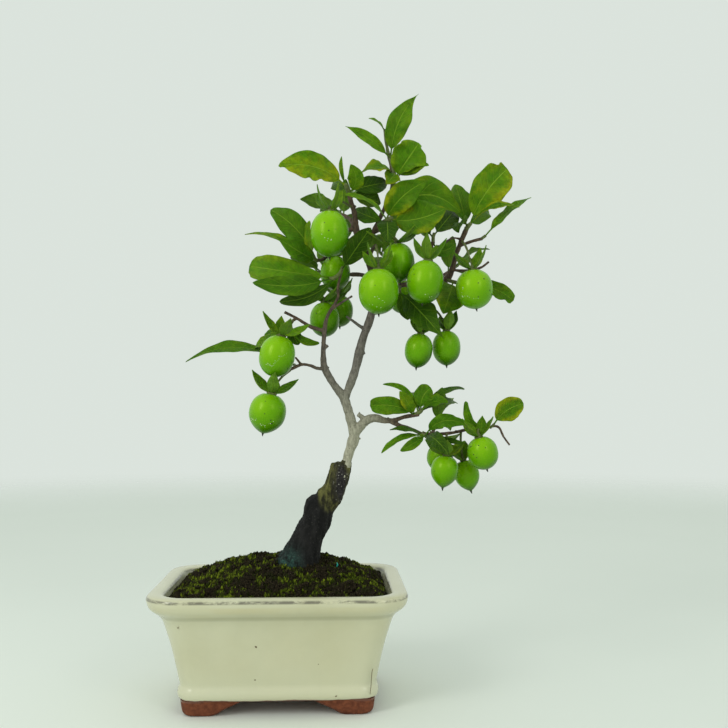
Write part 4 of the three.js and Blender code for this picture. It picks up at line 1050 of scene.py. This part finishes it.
def make_ground_cover():
    random.seed(COVER_SEED)
    moss, crumbs = Shape(), Shape()
    cap = [tuple(range(TUFT_SIDES - 1, -1, -1))]
    sides = [(k, (k + 1) % TUFT_SIDES, TUFT_SIDES) for k in range(TUFT_SIDES)]
    for _ in range(COVER_COUNT):
        x = random.uniform(-COVER_HALF_WIDTH, COVER_HALF_WIDTH)
        y = random.uniform(-COVER_HALF_DEPTH, COVER_HALF_DEPTH)
        if not on_soil(x, y):
            continue
        rise = clump_height(x, y)
        z = soil_top(x, y) + max(rise, -0.6)
        share = moss_share(x, y)
        if share > random.uniform(0.1, 0.6):
            size = random.uniform(0.8, 1.5)
            tall = random.uniform(0.8, 2.4)
            turn = random.uniform(0, 2)
            lean = (random.uniform(-0.5, 0.5), random.uniform(-0.5, 0.5))
            ring = []
            for angle in turns(TUFT_SIDES, turn):
                radius = size * random.uniform(0.75, 1.2)
                ring.append((x + radius * math.cos(angle), y + radius * math.sin(angle), z - 0.6))
            tip = (x + lean[0], y + lean[1], z + tall)
            fresh = random.uniform(0.2, 1) * min(1.3, max(0.1, 0.3 + 0.8 * share + 0.45 * rise))
            tone = (fresh, min(1, max(0, fresh - 0.5) * random.uniform(0.4, 2.6)), random.uniform(0, 1))
            moss.add(ring + [tip], sides + cap, tone=tone)
        else:
            size = random.uniform(0.8, 2.1)
            spin = Euler([random.uniform(0, 6) for _ in range(3)]).to_matrix()
            stretch = [size * random.uniform(0.7, 1.3) for _ in range(3)]
            corners = [spin @ Vector([c * s for c, s in zip(p, stretch)]) for p in CRUMB]
            crumbs.add([(x + p.x, y + p.y, z + 0.3 * size + p.z) for p in corners], CRUMB_FACES)
    moss.make("moss", [moss_material()], "soil")
    crumbs.make("soil_crumbs", [soil_material()], "soil")
    fleck = Shape()
    z = soil_top(*FLECK_PLACE)
    fleck.add(*tube([(45, -13, z + 0.4, 0.5), (46, -13.6, z + 2.2, 0.6), (45.4, -14, z + 4.2, 0.35)], 6, 0.8))
    fleck.make("blue_green_fleck", [plain_material("blue_green")], "soil")


# Wood: the line above which the old bark is olive, the rotted hollow beside the young stem, the
# teal patch low on the trunk, the fineness of the skins, and the heights where the young bark turns
# grey and pale
OLIVE_BORDER_X = (29, 30, 33, 39.8, 45.5, 50)
OLIVE_BORDER_Z = (175, 158, 154.2, 149.2, 150.8, 152)
HOLLOW_PLACE = (49.2, -7, 172.7)
HOLLOW_SIZE = (4.4, 8, 15)
TEAL_X, TEAL_Z = 6, 107
TRUNK_VOXEL = 0.85
TWIG_VOXEL, QUICK_TWIG_VOXEL = 0.52, 0.8
GREY_LEVEL = 330
PALE_LEVEL = 236


def make_trunk():
    shape = Shape()
    shape.add(*tube(TRUNK, 28, 2.5))
    shape.add(*tube(TRUNK_TOP, 24))
    shape.add(*tube(TRUNK_CORE, 16))
    for root in ROOTS.values():
        shape.add(*tube(root, 14))
    points, normals, faces = fused("trunk", shape, TRUNK_VOXEL, 3)
    ridges = wavy(points * (1.5, 1.5, 0.45), 0.16, 1.0)
    bulges = wavy(points, 0.07, 4.0)
    grit = wavy(points, 0.6, 8.0)
    away = (((points - HOLLOW_PLACE) / HOLLOW_SIZE) ** 2).sum(axis=1)
    hollow = np.exp(-away)
    rim = np.exp(-((np.sqrt(away) - 1.35) / 0.35) ** 2)
    depth = 0.9 * ridges + 1.1 * bulges + 0.35 * grit - 2.4 * hollow
    points = points + normals * (depth + 0.9 * rim)[:, None]
    x, _, z = points.T
    olive = fade(-(z - np.interp(x, OLIVE_BORDER_X, OLIVE_BORDER_Z) + 2.5 * bulges) / 1.1)
    teal = np.exp(-(((x - TEAL_X) / 9) ** 2 + ((z - TEAL_Z) / 12) ** 2)) * (normals[:, 1] < 0.3)
    zone = np.column_stack([olive, np.clip(teal * 1.3, 0, 1), np.clip(hollow * 2.2, 0, 1)])
    add_piece("old_trunk", points, faces, [old_bark_material()], "bark", ["wood"], layers={"zone": zone})


def make_young_wood():
    shape = Shape()
    stretches = [(points, 14, 1.5, 0.16) for points in STEMS.values()]
    stretches += [(points, 10, 1.2, 0.22) for points in TWIGS.values()]
    for seed, (points, *form) in enumerate(stretches, 1):
        shape.add(*tube(points, *form, seed))
    random.seed(KNOT_SEED)
    for points, *_ in stretches:
        for _ in range(max(1, len(points) // 2)):
            spot = curve_point(points, random.uniform(0.15, 0.95))
            side = unit(np.array([random.uniform(-1, 1), random.uniform(-1, 0.4), random.uniform(-0.2, 1)]))
            reach = spot[3] * random.uniform(0.9, 1.35) + 0.5
            start = (*spot[:3], 0.6 * spot[3])
            tip = (*(spot[:3] + side * reach), random.uniform(0.5, 0.8))
            shape.add(*tube((start, tip), 6, 0.8))
    points, normals, faces = fused("young", shape, TWIG_VOXEL, 1)
    rough = 0.1 * wavy(points * (1, 1, 0.4), 0.7, 3.0) + 0.05 * wavy(points, 2.2, 6.0)
    points = points + normals * rough[:, None]
    x, _, z = points.T
    grey = fade((z - GREY_LEVEL + 34 * (x < 50)) / 12) * fade((x - 84) / 4)
    grey = grey * fade((34 - x) / 4 + (z - GREY_LEVEL) / 60)
    pale = fade((z - PALE_LEVEL) / 14)
    zone = np.column_stack([grey, pale, pale])
    add_piece("young_wood", points, faces, [young_bark_material()], "bark", ["wood"], layers={"zone": zone})


# Fruits, by their number from 0: how ripe one looks, how far it is drawn out to a point, how many
# dark dots it has, and its pale scratches as rows from angle and level to angle and level, with a
# number of flecks
RIPENESS = {
    0: 0.02, 1: -0.1, 2: 0.08, 3: -0.08, 5: 0.18, 6: -0.15, 7: -0.2, 8: -0.1, 9: -0.1, 10: 0.08, 13: -0.1,
    16: -0.1,
}
POINTED = {11: 0.55, 13: 0.9, 14: 0.9, 15: 0.7, 8: 0.3, 9: 0.3}
DOTS = {12: 26, 14: 18, 15: 14, 5: 14, 4: 10, 9: 9, 11: 14}
SCRATCHES = {
    0: ((-1.7, -0.3, -1.4, -0.45, 5), (-1.95, -0.15, -1.75, -0.4, 3)),
    2: ((-1.8, -0.3, -1.3, -0.55, 7), (-2.3, -0.6, -1.5, -0.8, 4)),
    4: ((-1.5, -0.65, -1.0, -0.7, 4),),
    5: ((-2.4, 0.05, -2.6, -0.5, 6), (-2.5, -0.35, -1.6, -0.6, 7)),
    10: ((-2.1, -0.5, -1.6, -0.5, 9), (-1.6, -0.46, -1.4, -0.12, 8), (-1.35, -0.06, -1.0, 0.16, 7)),
    11: ((-2.7, -0.45, -2.1, -0.38, 7), (-1.85, -0.55, -1.4, -0.62, 9), (-1.25, -0.5, -1.0, -0.28, 5)),
}
BIG_DOT = (-1.62, -0.02, 0.62)
SHIFT = 0.14
# The direction from which the painted light on the fruits falls, the same side as the key light
PAINTED_LIGHT_SIDE = (-0.45, -0.35, 0.8)
FRUIT_ROWS = 34
FRUIT_COLUMNS = 40
DIMPLE_START, DIMPLE_REACH, DIMPLE_DEPTH = 0.93, 0.07, 0.9
SPECK_SIDES = 7


def fruit_turn(lean):
    axis = Vector((lean, 0, 1)).normalized()
    return axis.rotation_difference(Vector((0, 0, 1))).inverted(), np.array(axis)


def fruit_profile(index, level):
    """Share of the full radius at a height from -1 to 1; a pointed fruit narrows to an acorn's tip."""
    point = POINTED.get(index, 0.08)
    level = (level - SHIFT * point) / (1 - SHIFT * point * (1 if level > SHIFT * point else -1))
    power = 0.5 + (0.42 * point if level < 0 else 0)
    return max(0.0, 1 - abs(level) ** 2.3) ** power


def make_fruit(index, fruit, materials):
    at, radius, half, lean = fruit[:4]
    turn, _ = fruit_turn(lean)
    random.seed(FRUIT_SEED + index)
    rings = []
    for row in range(FRUIT_ROWS):
        level = -math.cos(math.pi * row / (FRUIT_ROWS - 1))
        round_off = fruit_profile(index, level)
        z = half * level
        if level > DIMPLE_START:
            z -= DIMPLE_DEPTH * (level - DIMPLE_START) / DIMPLE_REACH
        rings.append([])
        for angle in turns(FRUIT_COLUMNS):
            grain = noise.noise(Vector((math.cos(angle), math.sin(angle), 1.5 * level + index)))
            lobes = 1 + 0.006 * math.cos(4 * angle) * (1 - level) + 0.01 * grain
            spread = max(radius * round_off * lobes, 0.25)
            rings[-1].append(turn @ Vector((spread * math.cos(angle), spread * math.sin(angle), z)))
    body, faces = stacked(rings)
    # Painted light: each point is lighter the more it faces that direction, and darker on the far side
    sunny = 0.5 + 0.5 * (body / (radius, radius, half)) @ unit(np.array(PAINTED_LIGHT_SIDE))
    layer = np.column_stack([np.clip(sunny + RIPENESS.get(index, 0), 0, 1), sunny, sunny])
    shape = Shape()
    shape.add(body + at, faces, sunny=layer)
    foot = ((0, 0, -half + 0.5, 1.1), (0.1, 0, -half - 0.7, 0.7), (0.3, 0, -half - 2.2, 0.22))
    style = [(*(np.array(turn @ Vector(p[:3])) + at), p[3]) for p in foot]
    shape.add(*tube(style, 8, 0.5), index=1, sunny=(0, 0, 0))
    body = (index, at, radius, half, turn)
    for _ in range(DOTS.get(index, 5)):
        angle, level = random.uniform(0, 2 * math.pi), random.uniform(-0.7, 0.7)
        add_speck(shape, body, angle, level, random.uniform(0.26, 0.62))
    if index == 0:
        add_speck(shape, body, *BIG_DOT)
    for angle, level, last_angle, last_level, count in SCRATCHES.get(index, ()):
        for k in range(count):
            share = k / (count - 1)
            a = angle + (last_angle - angle) * share + random.uniform(-0.05, 0.05)
            up = level + (last_level - level) * share + random.uniform(-0.05, 0.05)
            add_speck(shape, body, a, up, random.uniform(0.13, 0.42), 2)
    name = f"fruit_{index + 1:02d}"
    shape.make(name + "_skin", materials, "fruit_skin", [name])


def add_speck(shape, body, angle, level, size, material=1):
    index, at, radius, half, turn = body
    round_off = fruit_profile(index, level)
    spot = Vector((radius * round_off * math.cos(angle), radius * round_off * math.sin(angle), half * level))
    out = Vector((spot.x / radius ** 2, spot.y / radius ** 2, spot.z / half ** 2)).normalized()
    lay = Vector((0, 0, 1)).rotation_difference(out)
    rings = []
    for rise, wide in ((-0.25, 1.0), (0.12, 0.8), (0.2, 0.3)):
        rings.append([])
        for a in turns(SPECK_SIDES):
            local = Vector((size * wide * math.cos(a) * 1.2, size * wide * math.sin(a), rise))
            rings[-1].append(np.array(turn @ (spot + lay @ local)) + at)
    shape.add(*stacked(rings), index=material, sunny=(0, 0, 0))


# Leaves and sepals: how many rows, rows of stalk and columns they have, the stalk's share of the
# length, the least half width, the slope of the halves and the thickness of the margin
Form = namedtuple("Form", "rows stalk_rows columns stalk core fold thin")
BLADE = Form(38, 4, 15, STALK, STALK_RADIUS, math.sin(FOLD), 0.17)
SEPAL = Form(20, 2, 9, 0.02, 1.4, 0.3, 0.3)
SHOOT_LAYERS = {"tone": (0, 0, 0.5), "side": (0, 0, 0)}


def face_vector(letters):
    return unit(np.sum([FACES[letter] for letter in letters], axis=0).astype(float))


def bend_clear(points):
    """What lies inside a fruit's space is moved out to its skin, and what is near is eased round it."""
    for at, radius, half, lean, *_ in FRUITS:
        away = points - np.array(at, float)
        away[:, 0] -= lean * away[:, 2]
        wide, tall = radius + CLEARANCE, half + CLEARANCE
        level = np.sqrt((away[:, 0] / wide) ** 2 + (away[:, 1] / wide) ** 2 + (away[:, 2] / tall) ** 2)
        near = (level > 0.01) & (level < 1 + EASE)
        if near.any():
            wanted = 1 + np.maximum(0, level[near] - 1 + EASE) ** 2 / (4 * EASE)
            moved = away[near] * (wanted / level[near])[:, None]
            moved[:, 0] += lean * moved[:, 2]
            points[near] = moved + np.array(at, float)
    return points


def leaf_outline(s, widest, pointed):
    """Share of the half width along a blade; pointed, from 0 to 1, draws its tip out."""
    blunt = SHARP * (1 - widest) / widest
    tip = 1 - pointed * np.clip((s - TIP_START) / (1 - TIP_START), 0, 1) ** TIP_POWER
    return tip * (s / widest) ** SHARP * ((1 - s) / (1 - widest)) ** blunt


def sepal_outline(s):
    rise = 0.42 + 0.58 * np.sin(np.pi / 2 * np.clip(s / 0.45, 0, 1))
    return rise * np.clip(1 - np.clip((s - 0.45) / 0.55, 0, 1) ** 1.7, 0.02, 1)


def leaf_edge(s, t, nicks, rng):
    """The margin against the plain outline, with its waves and nicks."""
    slow, quick = rng.uniform(0, 6, 2), rng.uniform(0, 6, 2)
    left, right = (
        1 + 0.05 * np.sin(5 * s + slow[k]) + 0.025 * np.sin(often * s + quick[k])
        for k, often in enumerate((17, 19))
    )
    edge = np.where(t < 0, left, right)
    for at, sign, depth, wide in nicks:
        bite = depth * np.exp(-((s - at) / wide) ** 2)
        edge = edge * (1 - np.where(sign * t > 0, bite, 0))
    return edge


def leaf_height(s, t, spread, outline, width, length, phase, sepal):
    """How far a leaf rises above its flat form: the fold, the waves and the drooping tip."""
    away = np.abs(t)
    fold = (SEPAL if sepal else BLADE).fold
    height = spread * (np.sqrt(t ** 2 + 0.012) - 0.11) * fold
    ripple = np.sin(2 * np.pi * (1.6 * s + phase + 0.3 * t))
    if sepal:
        droop = 0.16 * length * np.clip(s - 0.6, 0, 1) ** 1.5
        return height + 0.02 * width * ripple * outline - droop
    small = np.sin(2 * np.pi * (5.2 * s + 2 * phase)) * away ** 3
    veins = VEIN_PAIRS * (s - VEIN_SLANT * away) + np.where(t > 0, VEIN_OFFSET, 0)
    quilt = np.abs(np.sin(np.pi * veins)) - 0.5
    height = height + (WAVE * ripple * t ** 2 + 0.022 * small) * width * outline
    height = height + 0.012 * width * quilt * outline * np.clip(away * 3, 0, 1) * (1 - t ** 4)
    return height - 0.02 * length * np.clip(s - 0.8, 0, 1) / 0.2


def sheet_faces(rows, columns):
    """Faces of a sheet with an upper side, a lower side and a closed margin."""
    count = rows * columns
    faces = []
    for i, j, k, l in strip_faces(rows, columns, around=False):
        faces += [(i, l, k, j), (count + i, count + j, count + k, count + l)]
    for i in range(rows - 1):
        a, b = i * columns, (i + 1) * columns
        c, d = a + columns - 1, b + columns - 1
        faces += [(a, count + a, count + b, b), (c, d, count + d, count + c)]
    for j in range(columns - 1):
        a = (rows - 1) * columns + j
        faces += [(j, j + 1, count + j + 1, count + j), (a, count + a, count + a + 1, a + 1)]
    return faces


def add_leaf(
    shape, base, tip, width, up, arch, phase, tone, rng, sway=0, widest=WIDEST, pointed=TIP_SHARE,
    nicks=(), sepal=False,
):
    """A leaf or sepal from its base to its tip; s goes along its blade and t across it."""
    form = SEPAL if sepal else BLADE
    base, tip = np.array(base, float), np.array(tip, float)
    chord = tip - base
    length = np.linalg.norm(chord)
    along = chord / length
    up = unit(up - along * up.dot(along))
    blade = form.stalk + (1 - form.stalk) * np.linspace(0, 1, form.rows - form.stalk_rows) ** 0.95
    q = np.concatenate([np.linspace(0, form.stalk, form.stalk_rows, endpoint=False), blade])
    even = np.linspace(-1, 1, form.columns)
    t = np.sin(np.pi / 2 * even) * 0.35 + even * 0.65
    bow = arch * up + sway * np.cross(up, along)

    def midrib(share):
        return base + np.outer(share, chord) + np.outer(4 * length * share * (1 - share), bow)

    tangent = midrib(np.minimum(q + 0.01, 1)) - midrib(np.maximum(q - 0.01, 0))
    tangent /= np.linalg.norm(tangent, axis=1)[:, None]
    lift = up - tangent * (tangent @ up)[:, None]
    lift /= np.linalg.norm(lift, axis=1)[:, None]
    side = np.cross(lift, tangent)[:, None, :]
    lift = lift[:, None, :]

    q = q[:, None]
    s = np.clip((q - form.stalk) / (1 - form.stalk), 0, 1)
    on_stalk = q < form.stalk
    outline = sepal_outline(s) if sepal else leaf_outline(s, widest, pointed)
    outline = np.where(on_stalk, 0, outline)
    spread = width / 2 * outline * (1 + (leaf_edge(s, t, nicks, rng) - 1) * np.abs(t))
    join = 0 if sepal else np.clip(1 - s * 9, 0, 1)
    reach = np.maximum(spread, np.where(s > 0.5, 0.12, form.core * (0.4 + 0.6 * join)))
    height = leaf_height(s, t, spread, outline, width, length, phase, sepal)
    middle = midrib(q[:, 0])[:, None, :] + side * (reach * t * math.cos(FOLD))[..., None]
    middle = middle + lift * height[..., None]
    if not sepal:
        eased = bend_clear(middle.reshape(-1, 3).copy()).reshape(middle.shape)
        middle = np.where((q > 0.02)[..., None], eased, middle)

    rib = np.exp(-(spread * t / 0.7) ** 2)
    thick = form.thin + 0.38 * rib * (1 - 0.6 * s)
    body = np.where(on_stalk, 0.62 * np.sqrt(1 - 0.97 * t ** 2), thick)
    body = body * np.where(np.abs(t) > 0.99, 0.55, 1)
    above = middle + lift * np.minimum(body, 0.3 + 0.32 * on_stalk)[..., None]
    below = middle - lift * body[..., None]
    points = np.concatenate([above.reshape(-1, 3), below.reshape(-1, 3)])
    uv = np.stack(np.broadcast_arrays(s, t / 2 + 0.5), axis=-1).reshape(-1, 2)
    under = np.repeat([(0, 0, 0), (1, 0, 0)], len(uv), axis=0)
    shape.add(
        points, sheet_faces(form.rows, form.columns), uv=np.concatenate([uv, uv]), tone=tone, side=under
    )


def lean_generator(seed):
    """The same small generator of numbers from 0 to 1 that the solids are grown with."""
    state = seed
    while True:
        state = (state * 1664525 + 1013904223) % 4294967296
        yield state / 4294967296


def back_leaves(shoot, count, length, seed):
    draw = lean_generator(seed)
    start = np.array(shoot[0][:3], float)
    along = unit(np.array(shoot[1][:3], float) - start)
    across = unit(np.array([0, 0, 1.0]) - along * along[2])
    other = np.cross(along, across)
    leaves = []
    for k in range(count):
        share = (k + 0.6) / count
        angle = 2.4 * k + 0.5 * next(draw)
        reach = length * (0.8 + 0.35 * next(draw))
        spread = 0.25 if k == count - 1 else 1.05 - 0.3 * share
        tip = curve_point(shoot, share)[:3] + along * reach * math.cos(spread)
        tip = tip + across * reach * math.sin(spread) * math.cos(angle)
        tip = tip + other * reach * math.sin(spread) * math.sin(angle)
        width = reach * (0.4 + 0.08 * next(draw))
        tone = ("deep", "plain", "light", "plain", "gold")[(k + seed) % 5]
        leaves.append((share, tuple(tip), width, "UB" if k % 2 == 0 else "U", 0.12, tone))
    return leaves


def make_spray(name, shoot, leaves, materials):
    rng = np.random.default_rng(sum(map(ord, name)))
    shape = Shape()
    shape.add(*tube(shoot, 10, 0.8, 0.15, len(name)), index=1, **SHOOT_LAYERS)
    for k, (share, tip, width, letters, arch, tone, *form) in enumerate(leaves):
        base = curve_point(shoot, share)[:3]
        phase = (0.618 * (k + len(name))) % 1
        shade = np.clip(np.array(LEAF_TONES_AND_PAINTED_SHADE[tone]) + rng.uniform(-0.06, 0.06, 3), 0, 1)
        nicks = NICKS.get((name, k), ())
        add_leaf(shape, base, tip, width, face_vector(letters), arch, phase, shade, rng, *form, nicks=nicks)
    shape.make(name + "_leaves", materials, "leaf", [name])


def make_calyx(index, fruit, materials):
    at, radius, half, lean, hold, turned, spread = fruit
    turn, axis = fruit_turn(lean)
    rng = np.random.default_rng(CALYX_SEED + index)
    seat = np.array(at) + axis * (FRUIT_TOP * half + 0.3)

    def place(x, y, z):
        return np.array(turn @ Vector((x, y, z))) + seat

    hold = np.array(hold, float)
    bend = place(0, 0, 1) * 0.55 + hold * 0.45 + axis * 0.16 * np.linalg.norm(hold - seat)
    shape = Shape()
    stalk = (
        (*place(0, 0, 0.2), 0.3 * radius), (*place(0, 0, 1.1), 0.22 * radius), (*place(0, 0, 2.6), 1.5),
        (*bend, 0.95), (*hold, 1.1),
    )
    shape.add(*tube(stalk, 12, 0.8, 0.1, index), index=1, **SHOOT_LAYERS)
    reach = SEPAL_LENGTH * min(1, radius / 14)
    for k in range(4):
        angle = math.radians(turned) + k * math.pi / 2
        open_out = spread + 0.15 * math.sin(1.7 * (k + 2 * index))
        x, y = math.cos(angle), math.sin(angle)
        out = 2 + reach * open_out
        tip = place(x * out, y * out, reach * (1.05 - 0.55 * open_out))
        inward = place(-x, -y, 0.9) - seat - np.array([0, SEPAL_TWIST * abs(x), 0])
        tone = (0.3, rng.uniform(0.05, 0.4), rng.uniform(0.4, 0.75))
        base = place(2 * x, 2 * y, 0.9)
        add_leaf(shape, base, tip, SEPAL_WIDTH, inward, -0.12, rng.uniform(), tone, rng, sepal=True)
    name = f"calyx_{index + 1:02d}"
    shape.make(name + "_sepals", materials, "calyx", [name])


def finish_screens():
    """The drain screens stay as the solids that they are, in plastic."""
    plastic = plain_material("screen_plastic")
    for name in ("drain_screen_1", "drain_screen_2"):
        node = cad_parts[name]
        node.data.materials.clear()
        node.data.materials.append(plastic)


def make_all():
    make_pot()
    make_pot_marks()
    make_soil()
    make_ground_cover()
    make_trunk()
    make_young_wood()
    skins = [fruit_material(), plain_material("dark_speck"), plain_material("pale_scratch")]
    green = plain_material("green_shoot")
    blades = [leaf_material("leaf"), green]
    flaps = [leaf_material("sepal", 0.05), green]
    for index, fruit in enumerate(FRUITS):
        make_fruit(index, fruit, skins)
        make_calyx(index, fruit, flaps)
    for name, shoot in SHOOTS.items():
        make_spray(name, shoot, LEAVES[name], blades)
    for name, (shoot, *rule) in BACK_SPRAYS.items():
        make_spray(name, shoot, back_leaves(shoot, *rule), blades)
    finish_screens()


add_camera()
make_all()
add_floor()
add_lights()
bpy.context.scene.view_settings.view_transform = "Standard"
